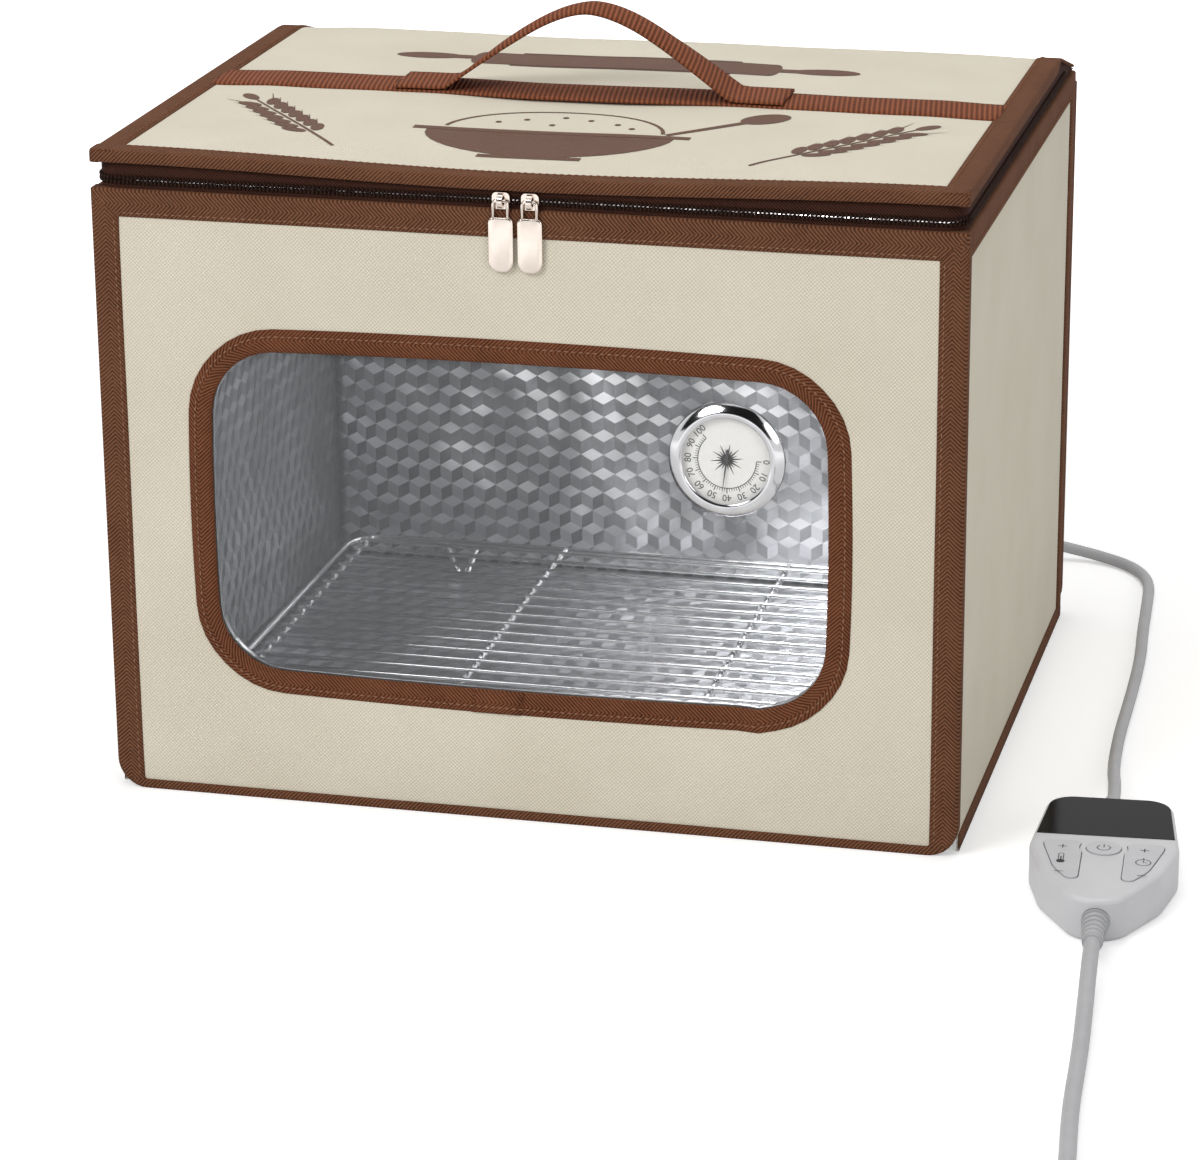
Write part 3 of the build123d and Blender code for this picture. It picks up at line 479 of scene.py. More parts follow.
def stitches(mesh, points, pitch=3.3, size=0.42):
    """Small beads of thread laid along a line."""
    points = [Vector(p) for p in points]
    run, wait = 0.0, pitch / 2
    for a, b in zip(points, points[1:]):
        way = b - a
        while wait <= run + way.length:
            place = a + way * ((wait - run) / way.length)
            turn = way.to_track_quat("X", "Z").to_matrix().to_4x4()
            shape = Matrix.Diagonal((pitch * 0.36, size, size, 1))
            place = Matrix.Translation(place) @ turn @ shape
            bmesh.ops.create_icosphere(mesh, subdivisions=1, radius=1, matrix=place)
            wait += pitch
        run += way.length


# %% [markdown]
# Panels and the window share one outline: a rounded rectangle. It is always walked with the same
# number of steps at each side and corner, so any two such rings can be joined point to point
# into a clean sheet, as when a panel has a window in it.

# %% Rings
SIDE_STEPS, UP_STEPS, CORNER_STEPS = 22, 16, 8


def ring(left, right, low, high, foot, head):
    """Points round a rounded rectangle seen from the front, with its bottom and top radii."""
    points = []
    corners = [(right - foot, low + foot, foot, -90), (right - head, high - head, head, 0)]
    corners += [(left + head, high - head, head, 90), (left + foot, low + foot, foot, 180)]
    for n, (x, z, radius, start) in enumerate(corners):
        arc = [radians(start + 90 * k / CORNER_STEPS) for k in range(CORNER_STEPS + 1)]
        points += [Vector((x + radius * cos(a), 0, z + radius * sin(a))) for a in arc]
        after = corners[(n + 1) % 4]
        turn = radians(after[3])
        end = Vector((after[0] + after[2] * cos(turn), 0, after[1] + after[2] * sin(turn)))
        count = UP_STEPS if n % 2 == 0 else SIDE_STEPS
        begin = points[-1]
        points += [begin.lerp(end, k / count) for k in range(1, count)]
    return points + points[:1]


def window_ring(grow):
    """The window's outline, or one outside it, whose sides bow out a little."""
    wide, high, radius = WINDOW_WIDE + grow, WINDOW_HIGH + grow, WINDOW_ROUND + grow
    points = ring(WINDOW_X - wide, WINDOW_X + wide, WINDOW_Z - high, WINDOW_Z + high,
                  radius, radius)
    for p in points:
        across, up = (p.x - WINDOW_X) / WINDOW_WIDE, (p.z - WINDOW_Z) / WINDOW_HIGH
        p.x += 2.2 * across * max(0, 1 - up ** 2)
        p.z += 2.2 * up * max(0, 1 - across ** 2)
    return points


def panel_ring(side, foot, head, top=RIM):
    """The panel's outline, in from its sides, its bottom and its top by these."""
    return ring(side - HALF_WIDTH, HALF_WIDTH - side, foot, top - head,
                max(CORNER - side, 0.4), 0.4)


def ringed(rings, depths):
    """Sections across a set of rings, each at its own depth."""
    return [[Vector((p.x, y, p.z)) for p, y in zip(row, depths)] for row in zip(*rings)]


def rings_between(outer, inner, shares):
    return [[a.lerp(b, s) for a, b in zip(outer, inner)] for s in shares]


def hole_in(outer, middle, x, z, radius):
    """A round hole with one point for each of the outer ring's, as seen from its middle."""
    turns = [atan2(p.z - middle[1], p.x - middle[0]) for p in outer]
    return [Vector((x + radius * cos(a), 0, z + radius * sin(a))) for a in turns]


def dented(mesh, dent):
    """Move each point of a panel by what a function says for its place."""
    for vertex in mesh.verts:
        vertex.co.y += dent(vertex.co.x, vertex.co.z)


def panel(name, material, rings, depths, way, body, node, wall, dent=None, mapped=False):
    """A sheet through a set of rings, which faces forward or back."""
    mesh = bmesh.new()
    swept(mesh, ringed(rings, depths), (0, way, 0), closed=True)
    if dent:
        dented(mesh, dent)
    if mapped:
        flat_map(mesh, 0, 2)
    finished(mesh, name, material, body, [node], wall)


def rumple(x, z, seed, size, height):
    """A soft dent or swell in a sheet."""
    return height * noise.noise(Vector((x / size, z / size, seed)))


# %% [markdown]
# The front panel's cloth is drawn tight over a board, so it is nearly flat, with a slight swell
# between the tapes. It is made as rings from the panel's edge to the window's.


# %% Front cloth
def front_cloth():
    shares = [0, 0.05, 0.15, 0.3, 0.5, 0.7, 0.85, 0.95, 1]
    rings = rings_between(panel_ring(0.8, 0.8, 0.8), window_ring(0), shares)
    panel("front_cloth", cream, rings, [-CLOTH - 0.9 * sin(pi * s) for s in shares], -1,
          "front_panel", "front_cover", 0.5, lambda x, z: rumple(x, z, 1.3, 70, 0.35), True)


front_cloth()


# %% Front tape
def tape_map(mesh, high, strip, foot):
    """A map along and across the tape on a panel, whichever way the tape runs there."""
    layer = mesh.loops.layers.uv.verify()
    for face in mesh.faces:
        middle = face.calc_center_median()
        sideways = middle.z > high - strip or middle.z < foot or abs(face.normal.z) > 0.7
        for loop in face.loops:
            x, y, z = loop.vert.co
            deep = abs(y) - HALF_DEPTH
            if sideways:
                across = (high - z) if middle.z > high / 2 else z
                loop[layer].uv = (x * MM, (across - deep) * MM)
            else:
                loop[layer].uv = (z * MM, (HALF_WIDTH - abs(x) - deep) * MM)


def bound_edge(name, body, node, top, strip, sign):
    """The tape round a panel: on its face, over its edge and a little way behind."""
    shares = [1, 0.97, 0.75, 0.5, 0.25, 0.06, 0, 0]
    depths = [169.2, 169.9, 170.15, 170.2, 170.15, 169.95, 169.2, 163.3]
    rings = [panel_ring(TAPE * s, HEM * s, strip * s, top) for s in shares]
    mesh = bmesh.new()
    swept(mesh, ringed(rings, [sign * y for y in depths]), (0, sign, 0), closed=True)
    if not strip:
        cut = [face for face in mesh.faces if face.calc_center_median().z > top - 0.5]
        bmesh.ops.delete(mesh, geom=cut, context="FACES")
    tape_map(mesh, top, max(strip, 0.1), HEM)
    finished(mesh, name, brown_tape, body, [node], 0.35)


bound_edge("front_tape", "front_panel", "front_binding", RIM, TAPE, -1)
bound_edge("back_tape", "box_base", "back_binding", BACK_RIM, 0, 1)


# %% Front stitches
def front_stitches():
    mesh = bmesh.new()
    for x in (-189.6, 189.6):
        stitches(mesh, [(x, -170.2, 6), (x, -170.2, 277)])
    stitches(mesh, [(-186, -170.2, 279.4), (186, -170.2, 279.4)])
    stitches(mesh, [(p.x, -170.75, p.z) for p in window_ring(7.6)])
    finished(mesh, "front_stitches", thread, "front_panel")


front_stitches()

# %% [markdown]
# The window's edge is bound in one length of tape laid round the opening. Its ends meet at the
# bottom middle under a short lap. The clear sheet behind it sags a little, which only shows in
# its reflections.


# %% Window
def window_edge():
    rings = [window_ring(s) for s in (11, 10.7, 8.5, 5.5, 2.5, 0.4, 0, 0)]
    depths = [-169.3, -170.1, -170.5, -170.55, -170.45, -170.1, -169.4, -168.5]
    panel("window_edge", window_tape, rings, depths, -1, "front_panel", "window_binding", 0.3)


def window_lap():
    low, high = 51.9, 63.1
    mesh = grid(bmesh.new(), steps(-26, -3, 6), steps(low, high, 8),
                lambda x, z: (x + (z - 53) * 0.2,
                              -170.7 - 0.15 * sin(pi * (z - low) / (high - low)), z), (0, -1, 0))
    finished(mesh, "window_lap", window_tape, "front_panel", wall=0.2)


def window_sag(x, z):
    to_sides = min(abs(x - WINDOW_X - WINDOW_WIDE), abs(x - WINDOW_X + WINDOW_WIDE), 12) / 12
    return (0.5 + abs(rumple(x, z, 4.1, 60, 0.8))) * to_sides


def window_sheet():
    outer = window_ring(6)
    hole = hole_in(outer, (WINDOW_X, WINDOW_Z), DIAL_X, DIAL_Z, 22.3)
    rings = rings_between(outer, hole, (0, 0.12, 0.3, 0.5, 0.7, 0.88, 1))
    panel("window_sheet", window_clear, rings, [-168.4] * len(rings), -1,
          "front_panel", "window_pane", 0.3, window_sag)


window_edge()
window_lap()
window_sheet()

# %% [markdown]
# Inside, every wall is lined with foil. The side walls and the floor are fairly flat. The back
# wall's lining stands off in broad soft creases, so its grid of points is pushed about more. The
# cloth under the floor's halves is made by the same function as the foil on them.


# %% Foil linings, and the cloth under the floor


def back_creases(x, z):
    fade = smooth_step((193 - abs(x)) / 25) * smooth_step((283 - z) / 30) * smooth_step(z / 40)
    folds = rumple(x + 0.5 * z, z * 0.5, 7.7, 55, 7) + rumple(x, z, 2.2, 24, 2.6)
    return LINING - fade * max(0.2, 4.5 + folds)


def back_foil():
    mesh = grid(bmesh.new(), steps(-193.2, 193.2, 90), steps(6.7, 283.5, 60),
                lambda x, z: (x, back_creases(x, z), z), (0, -1, 0))
    finished(mesh, "back_foil", foil_wall, "box_base", ["back_liner"], 0.3)


def front_foil():
    """The panel's lining, and a sill of it that lines the thickness of the window's edge."""
    rings = rings_between(panel_ring(0.8, 0.8, 0.8), window_ring(0), (0, 0.3, 0.7, 1))
    mesh = bmesh.new()
    swept(mesh, ringed(rings, [-163.3] * 4), (0, 1, 0), closed=True)
    flat_map(mesh, 0, 2)
    sill = [window_ring(-0.25), window_ring(-0.3), window_ring(-0.3), window_ring(0)]
    swept(mesh, ringed(sill, [-163.5, -163.7, -166.6, -166.9]), (0, -0.01, 0.01), closed=True)
    finished(mesh, "front_foil", foil_side_painted_shade, "front_panel", ["front_liner"], 0.5)


def floor_sheet(name, half, material, bottom, swell, seed, size, fine, facing, wall):
    """A sheet on one half of the floor: the foil on it, or the cloth under it."""
    low, high = (0.2, LINING) if half == "rear" else (-LINING, -0.2)
    mesh = grid(bmesh.new(), steps(-192.8, 192.8, fine[0]), steps(low, high, fine[1]),
                lambda x, y: (x, y, bottom + swell * abs(rumple(x, y, seed, size, 1))), facing)
    node = f"bottom_{half}_{'liner' if material is foil_floor else 'cover'}"
    finished(mesh, f"{name}_{half}", material, "floor_" + half, [node], wall)


back_foil()
front_foil()
for half in ("rear", "front"):
    floor_sheet("floor_foil", half, foil_floor, 6.7, 0.5, 3.4, 30, (60, 26), (0, 0, 1), 0.4)
    floor_sheet("bottom_cloth", half, cream, 0.1, 0.2, 6.2, 60, (40, 18), (0, 0, -1), 0.5)

# %% [markdown]
# The side walls have no boards to hinge on: when the box folds, they crumple. Here their pieces are
# only given meshes of their own.


# %% Side walls
SIDE_FRONT = -162.8  # where the side walls begin


def squashed(piece):
    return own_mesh(piece)


def side_sheet(name, x, low, high, facing, material, replaces, swell, fine):
    """The same sheet on both side walls."""
    mesh = bmesh.new()
    for side in (-1, 1):
        grid(mesh, steps(SIDE_FRONT, LINING, fine), steps(low, high, fine),
             lambda y, z: (side * (x + swell(y, z)), y, z), (side * facing, 0, 0))
    flat_map(mesh, 1, 2)
    squashed(finished(mesh, name, material, "box_base", replaces, 0.5))


def cloth_swell(y, z):
    inside = sin(pi * (y + 163) / 326) * sin(pi * z / 290)
    return -0.9 * inside + rumple(y, z, 5.5, 60, 0.5) * inside


def foil_swell(y, z):
    fade = smooth_step((160 - abs(y)) / 20) * smooth_step((284 - z) / 20) * smooth_step(z / 20)
    return -fade * abs(0.6 + rumple(y, z, 9.1, 40, 2.0))


side_sheet("side_cloth", 199.2, 0.3, 289.2, 1, cream, ["side_covers", "side_cores"],
           cloth_swell, 40)
side_sheet("side_foil", 193.2, 6.8, 289.2, -1, foil_side_painted_shade, ["side_liners"], foil_swell, 44)


# %% Side tapes
def side_tapes():
    mesh = bmesh.new()
    rim = [(199.3, 277.5), (199.95, 277.8), (200.15, 284), (200.05, 289), (199.4, 290)]
    rim += [(196.6, 290.1), (193.8, 290), (193.2, 289.2), (193.1, 284)]
    skirt = [(199.3, 8), (199.95, 7.6), (200.1, 4), (200, 0.3)]
    rear = [(199.3, 151), (199.95, 151.4), (200.1, 157), (200, LINING)]
    for side in (-1, 1):
        for outline in (rim, skirt):
            grid(mesh, steps(SIDE_FRONT, LINING, 50), outline,
                 lambda y, p: (side * p[0], y, p[1]), (side, 0, 0))
        grid(mesh, steps(0.4, 284, 40), rear, lambda z, p: (side * p[0], p[1], z), (side, 0, 0))
        stitches(mesh, [(side * 200.15, -160, 280), (side * 200.15, 161, 280)], size=0.35)
        stitches(mesh, [(side * 200.1, 153.5, 8), (side * 200.1, 153.5, 277)], size=0.35)
    squashed(finished(mesh, "side_tapes", brown_tape, "box_base", ["side_bindings"], 0.3))


side_tapes()


# %% Back cloth
def back_swell(x, z):
    return smooth_step((194 - abs(x)) / 30) * (0.3 + rumple(x, z, 8.3, 70, 0.4))


def back_cloth():
    outer = panel_ring(0.8, 0.8, 0.3, BACK_RIM)
    hole = hole_in(outer, (0, 120), 150, 22, 6)
    rings = rings_between(outer, hole, (0, 0.06, 0.25, 0.5, 0.75, 0.92, 1))
    panel("back_cloth", cream, rings, [CLOTH] * len(rings), 1, "box_base", "back_cover", 0.5,
          back_swell, True)


back_cloth()

# %% [markdown]
# The lid is a thin padded flap. It sags a little at the front middle, where only the zipper
# holds it, and drops to the hinge behind. One height function gives its top, and the cloth, the
# tape, the strap and the print all read it, so they lie on each other everywhere.

# %% Lid form
SAG, BEND, SOFT = 3.6, 110, 8  # where the slope begins, and half the length of its bend


def lid_sag(x, y):
    across = cos(pi * min(abs(x + 2), 188) / 376) ** 2
    return SAG * across * smooth_step((-55 - y) / 115)


def lid_drop(y):
    """How far the lid's line is under its flat part: nothing, a short bend, then the slope."""
    past = y - BEND
    if past <= -SOFT:
        return 0.0
    if past < SOFT:
        return tan(SLOPE) * (past + SOFT) ** 2 / (4 * SOFT)
    return tan(SLOPE) * past


def lid_height(x, y):
    return LID_TOP - lid_drop(y) - lid_sag(x, y)


def cloth_height(x, y):
    """The cloth between the tapes: lower than them at its edges, softly padded inside."""
    inside = smooth_step((187 - abs(x)) / 30) * smooth_step((y + 157) / 30)
    pad = 0.9 + rumple(x, y, 3.1, 90, 0.9) + rumple(x, y, 6.4, 35, 0.25)
    return lid_height(x, y) - 0.8 + inside * pad * smooth_step((140 - y) / 30)


def lid_underside(x, y):
    thick = LID_TOP - LID_BOTTOM
    if y > 96:
        thick -= (thick - 1.7) * smooth_step((y - 96) / 12)
    return lid_height(x, y) - thick


def lid_cloth():
    mesh = grid(bmesh.new(), steps(-199.1, 199.1, 96), steps(-169.1, 156.6, 80),
                lambda x, y: (x, y, cloth_height(x, y)), (0, 0, 1))
    flat_map(mesh, 0, 1)
    finished(mesh, "lid_cloth", cream, "lid", ["lid_cover", "lid_core"], 0.6)


def lid_foil():
    """Flat under the lid, with its rear edge turned up to the cloth."""
    rows = [(y, 0) for y in steps(-168.6, 104, 60)] + [(105.2, 0.6), (105.8, 2.4), (106.2, 3.9)]

    def place(row, x):
        y, lift = row
        return x, y, LID_BOTTOM - lid_sag(x, y) + lift + 0.4 * abs(rumple(x, y, 5.9, 30, 1))

    mesh = grid(bmesh.new(), rows, steps(-196.5, 196.5, 70), place, (0, 0, -1))
    finished(mesh, "lid_foil", foil_floor, "lid", ["lid_liner"], 0.4)


lid_cloth()
lid_foil()


# %% Lid tapes
def lid_tapes():
    """Tape over the lid's front edge and both side edges, down to its underside."""
    mesh = bmesh.new()
    fold = [(187.5, -0.85), (187.9, -0.2), (191, 0.05), (195, 0.1), (198.8, 0.05), (199.8, -0.5)]
    for side in (-1, 1):
        rows = []
        for y in steps(-169.9, 156.8, 80):
            top, low = lid_height(side * 195, y), lid_underside(side * 195, y)
            row = [(x, top + z) for x, z in fold]
            row += [(200, top - 1.2), (200, low + 0.5), (199.3, low), (196, low - 0.1)]
            rows.append([Vector((side * x, y, z)) for x, z in row])
        swept(mesh, rows, lambda p: (p.x * 0.1, 0, 1))
    rows = []
    for x in steps(-199.9, 199.9, 110):
        top, low = lid_height(x, -168), lid_underside(x, -168)
        row = [(30 - y, top + z + 0.08) for y, z in fold]
        row += [(-170.1, top - 1.2), (-170.1, low + 0.5), (-169.3, low), (-166, low - 0.1)]
        rows.append([Vector((x, y, z)) for y, z in row])
    swept(mesh, rows, (0, -0.1, 1))
    stitches(mesh, [(x, -159.9, lid_height(x, -160) + 0.15) for x in steps(-186, 186, 60)])
    for side in (-1, 1):
        stitches(mesh, [(side * 189.9, y, lid_height(side * 190, y) + 0.1)
                        for y in steps(-150, 152, 60)])
    finished(mesh, "lid_tapes", brown_tape, "lid", ["lid_binding"], 0.3)


lid_tapes()


# %% Hinge
def hinge():
    """The rolled seam at the rear rim and the leaf that the lid lies on."""
    leaf = [(-50, 3), (-40, 3), (-28, 3), (-16, 3), (-6, 3), (0, 3)]
    roll = [(3 * sin(a), 3 * cos(a)) for a in steps(0.3, 2 * pi - 0.5, 14)]
    turned = [Matrix.Rotation(-SLOPE, 2) @ Vector(p) for p in leaf + roll]
    outline = [(166.2 + p.x, 287 + p.y) for p in turned]
    mesh = grid(bmesh.new(), steps(-197.3, 197.3, 60), outline, lambda x, p: (x, *p), (0, 0, 1))
    finished(mesh, "hinge_seam", brown_tape, "hinge_spine", ["hinge_tape"], 0.5)


def hinge_cover():
    """The loose cloth between the roll and the lid's rear end, which shows when the lid is up."""
    outline = [(166.2, 290.3), (164, 290.85), (161.5, 291.55), (159, 292.25), (157.3, 292.8)]
    mesh = grid(bmesh.new(), steps(-198.5, 198.5, 60), outline, lambda x, p: (x, *p), (0, 0, 1))
    cover = finished(mesh, "hinge_cover", brown_tape, None, wall=0.3)
    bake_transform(cover)


hinge()
hinge_cover()

# %% [markdown]
# The zipper is a coil zipper: two knitted tapes, each with a row of bent nylon teeth. A tooth is
# a small bead, because there are over a thousand of them. The route round a front corner is an
# arc of 10 mm, as the tape can't turn tighter.

# %% Zipper
ZIP_X, ZIP_Y, ZIP_TURN = 198, 168, 10  # middle of the tape, and its turn at the front corners
COIL_END = 138  # the coil ends here, before the rear corner


def zip_route(rear):
    """Places round the front of the box, each with the way that is outward there."""
    turn_x, turn_y = ZIP_X - ZIP_TURN, ZIP_Y - ZIP_TURN
    places = [(Vector((-ZIP_X, y)), Vector((-1, 0))) for y in steps(rear, -turn_y, 40)]
    places += [(Vector((-turn_x + ZIP_TURN * cos(a), -turn_y + ZIP_TURN * sin(a))),
                Vector((cos(a), sin(a)))) for a in steps(pi, 1.5 * pi, 8)[1:-1]]
    other_side = [(Vector((-p.x, p.y)), Vector((-w.x, w.y))) for p, w in reversed(places)]
    places += [(Vector((x, -ZIP_Y)), Vector((0, -1))) for x in steps(-turn_x, turn_x, 60)]
    return places + other_side


def teeth(mesh, line, height, shift=0.0):
    """A row of teeth along a line of places."""
    run, wait = 0.0, TOOTH * (0.5 + shift)
    for (a, way), (b, _) in zip(line, line[1:]):
        length = (b - a).length
        while wait <= run + length:
            place = a.lerp(b, (wait - run) / length)
            turn = Matrix.Rotation(atan2(way.y, way.x), 4, "Z")
            spot = Matrix.Translation((place.x + way.x * 0.3, place.y + way.y * 0.3, height))
            shape = Matrix.Diagonal((1.25, 0.82, 1.35, 1))
            bmesh.ops.create_icosphere(mesh, subdivisions=1, radius=1,
                                       matrix=spot @ turn @ shape)
            wait += TOOTH
        run += length


def zip_half(name, rear, low, high, height, body, node, shift):
    """One half of the zipper: tape between two heights that may change, and its teeth."""
    places = zip_route(rear)
    rows = []
    for place, way in places:
        heights = [low(place), low(place) * 0.67 + high(place) * 0.33, high(place)]
        rows.append([Vector((*(place + way * 0.15), z)) for z in heights])
    tape, beads = bmesh.new(), bmesh.new()
    swept(tape, rows, lambda p: (p.x, p.y + (0 if abs(p.y) > 160 else -p.y), 0))
    finished(tape, name + "_tape", zip_tape, body, [node], 0.4)
    teeth(beads, [place for place in places if place[0].y < COIL_END], height, shift)
    finished(beads, name + "_teeth", coil_black, body)


def lid_edge_height(place):
    return lid_underside(place.x, place.y) + 0.2


def coil_edge(place):
    """The upper tape's low edge: over the coil, and closing under the lid's slope behind."""
    return min(COIL_LINE + 0.3, lid_underside(place.x, place.y) - 0.4)


zip_half("front_zipper", -157, lambda p: ZIP_FOOT, lambda p: COIL_LINE - 0.3, COIL_LINE - 1.0,
         "front_panel", "front_zip", 0)
zip_half("lid_zipper", 156, coil_edge, lid_edge_height, COIL_LINE + 1.0,
         "lid", "lid_zip", 0.5)


# %% Side zipper halves
def side_zips():
    """The lower half on the side walls, whose tape follows the lid's slope at the rear."""
    tape, beads = bmesh.new(), bmesh.new()
    for side in (-1, 1):
        line = [(Vector((side * ZIP_X, y)), Vector((side, 0))) for y in steps(-156.5, 156, 70)]
        rows = [(p.x + w.x * 0.15, p.y, 290.5, COIL_LINE - 0.3) for p, w in line if p.y < 137]
        rows += [(side * 197.7, y, 291, top) for y, top in ((139, 295.5), (148, 295.3),
                                                            (155, 293.4))]
        rows += [(side * 198.15, y, (ZIP_FOOT + top) / 2, top)
                 for y, top in ((158, 292.8), (161, 291.9), (163, 290.6))]
        swept(tape, [[Vector((x, y, z)) for z in (ZIP_FOOT, middle, top)]
                     for x, y, middle, top in rows], (side, 0, 0))
        teeth(beads, [place for place in line if place[0].y < COIL_END], COIL_LINE - 1.0)
    squashed(finished(tape, "side_zipper_tape", zip_tape, "box_base", ["side_zips"], 0.4))
    squashed(finished(beads, "side_zipper_teeth", coil_black, "box_base"))


side_zips()


# %% Pulls
PIN_Y, PIN_Z, WIRE = -171.6, 294.2, 0.8  # a pull's upper bar, and its wire's radius


def pull(name, x):
    """A pull: a wire bail, and a tab whose edges are rounded and whose low end is rounder."""
    mesh = bmesh.new()
    edge = [(0.95, -0.7), (0.4, -0.6), (0.1, -0.35), (0, 0), (0.1, 0.35), (0.4, 0.6), (0.95, 0.7)]
    rows = [ring(x - 5.75 + d, x + 5.75 - d, 262 + d, 287 - d, 4.8 - d, 2.7 - d) for d, _ in edge]
    swept(mesh, ringed(rows, [PIN_Y + y for _, y in edge]), (0, -1, 0), closed=True)
    path = [(-3.3, -8.4), (-3.3, -1.2), (-2.9, -0.4), (-2.1, 0)]
    path += [(-a, b) for a, b in reversed(path)]
    rows = []
    for before, here, after in zip(path[:1] + path, path, path[1:] + path[-1:]):
        way = Vector((after[0] - before[0], after[1] - before[1])).normalized()
        rows.append([Vector((x + here[0] - way.y * WIRE * cos(a), PIN_Y + WIRE * sin(a),
                             PIN_Z + here[1] + way.x * WIRE * cos(a)))
                     for a in steps(0, 2 * pi, 10)])
    swept(mesh, rows, (0, 0, 1), closed=True)
    bmesh.ops.holes_fill(mesh, edges=[e for e in mesh.edges if e.is_boundary], sides=0)
    bmesh.ops.recalc_face_normals(mesh, faces=mesh.faces)
    finished(mesh, name + "_shape", warm_chrome, name, [name])


pull("pull_left", -8.25)
pull("pull_right", 5.05)

# %% [markdown]
# The strap is one length of webbing over the lid, loose between the handle's feet so that it
# bows forward a little. The handle is a second length, sewn flat on the strap at both ends. Its
# feet stay on the lid and its arch leans; here it is made in place and rides on no body.


# %% Strap
def strap_line(x):
    """How far forward the strap bows, and how far it lifts."""
    loose = smooth_step((78 - abs(x - HANDLE_X)) / 60)
    return -7 * loose, 1.3 * loose


def strap_place(x, y):
    bow, lift = strap_line(x)
    curl = 0.35 * (1 - ((y - STRAP_Y) / 15) ** 2)
    return x, y + bow, cloth_height(x, y + bow) + 1.0 + lift + curl


def strap():
    mesh = grid(bmesh.new(), steps(-190, 190, 120), steps(STRAP_Y - 15, STRAP_Y + 15, 6),
                strap_place, (0, 0, 1))
    finished(mesh, "strap", webbing, "lid", ["lid_strap"], 1.2)


strap()


# %% Handle
def handle_path():
    """The arch's middle line: flat feet, a rise and a rounded crown."""
    points = []
    for s in steps(-1, 1, 80):
        reach = abs(s)
        if reach > 0.86:
            x, z = 70 + (reach - 0.86) / 0.14 * 24, 0.0
        else:
            share = reach / 0.86
            x, z = 70 * share, 40.5 * (1 - share ** 1.75) ** 1.2
        points.append((x if s > 0 else -x, z))
    return points


def handle():
    path = handle_path()
    rows = []
    for before, (x, z), after in zip(path[:1] + path, path, path[1:] + path[-1:]):
        way = Vector((after[0] - before[0], after[1] - before[1])).normalized()
        narrower = smooth_step(z / 30)
        base = cloth_height(x + HANDLE_X, STRAP_Y) + 3.2
        row = []
        for share in steps(-1, 1, 8):
            cup = -2.4 * share ** 2 * narrower
            row.append(Vector((x + HANDLE_X - way.y * cup,
                               STRAP_Y + share * (15 - 2.6 * narrower), base + z + way.x * cup)))
        rows.append(row)
    mesh = bmesh.new()
    swept(mesh, rows, (0, 0, 1))
    piece = finished(mesh, "handle_webbing", webbing, None, ["carry_handle"], 1.3)
    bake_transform(piece)


handle()

# %% [markdown]
# Leads come as curves: a NURBS spline with a handful of control points is smooth by itself. The
# points repeat the route of the solids. The put-away length is a coil of turns that lie beside
# and on each other, just outside the view.

# %% Lead routes
HEATER_ROUTE = [
    (150, 195.2, 22), (150, 220.2, 22), (162, 241, 16), (183, 253, 8.5), (207, 253, 4),
    (228, 241, 3), (240, 219, 3), (243, 184, 3), (246, 140, 3), (250, 98, 3), (252, 42, 3),
    (253, -12, 3), (256.5, -60, 4.5), (261.90, -94.26, 10), (263.21, -112.21, 10),
]
MAINS_ROUTE = [
    (275.01, -272.78, 10), (276.32, -290.73, 10), (279, -322, 5), (283, -368, 3.5),
    (286, -418, 3.5), (292, -470, 3.5), (297, -524, 3.5), (296, -562, 3.5),
]
CROSSINGS = [
    (296, 3.5), (206.5, 3.5), (287, 3.5), (215.5, 3.5), (278, 3.5), (220, 11.4),
    (282.5, 11.4), (211, 11.4), (291.5, 11.4), (202, 11.4), (300.5, 11.4),
]
TAIL_ROUTE = [
    (300.5, -626, 11.4), (289.5, -652, 7.4), (265.5, -668, 4), (237.5, -671, 7),
    (221.5, -672, 7),
]


def coil_points(count=8):
    """Points round the half turns between the places where the coil crosses its middle."""
    points = []
    for n, ((x0, z0), (x1, z1)) in enumerate(zip(CROSSINGS, CROSSINGS[1:])):
        middle, radius = (x0 + x1) / 2, abs(x0 - x1) / 2 / cos(pi / 2 / count)
        for k in range(count):
            share = (k + 0.5) / count
            turn = pi * share
            out = cos(turn) if x0 > x1 else -cos(turn)
            side = -1 if n % 2 == 0 else 1
            points.append((middle + radius * out, -602 + side * radius * sin(turn),
                           z0 + (z1 - z0) * smooth_step(share)))
    return points


def cord(name, route, diameter, node_names, **facts):
    curve = bpy.data.curves.new(name, "CURVE")
    curve.dimensions, curve.resolution_u = "3D", 10
    curve.bevel_depth, curve.bevel_resolution = diameter / 2 * MM, 5
    curve.use_fill_caps = True
    spline = curve.splines.new("NURBS")
    spline.points.add(len(route) - 1)
    for point, place in zip(spline.points, route):
        point.co = (*[v * MM for v in place], 1)
    spline.order_u, spline.use_endpoint_u = 3, True
    curve.materials.append(soft_rubber)
    piece = bpy.data.objects.new(name, curve)
    bpy.context.scene.collection.objects.link(piece)
    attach(piece, "box_base")
    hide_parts(*node_names)
    print(name, len(route), "points")


controller_nodes = [nodes[n] for n in ("controller_base", "controller_cover",
                    "controller_display", "controller_board", "relief_upper", "relief_lower")]
cord("heater_cord", HEATER_ROUTE, 6.0, ["heater_lead"], length=0.478, far_end="fitting",
     stiffness="medium", lay="loose", with_pieces=controller_nodes)
cord("mains_cord", MAINS_ROUTE + coil_points() + TAIL_ROUTE, 7.0, ["mains_lead", "mains_coil"],
     length=1.657, far_end="plug", stiffness="medium", lay="coiled",
     with_pieces=[nodes["plug_body"], nodes["plug_blades"]])

# %% [markdown]
# Nodes whose solid already has the right shape stay, and only get a better finish: the rack, the
# zipper's sliders, the dial's case, lens, card and needle, the controller and its keys, the
# plug, and the boards and films inside the walls.

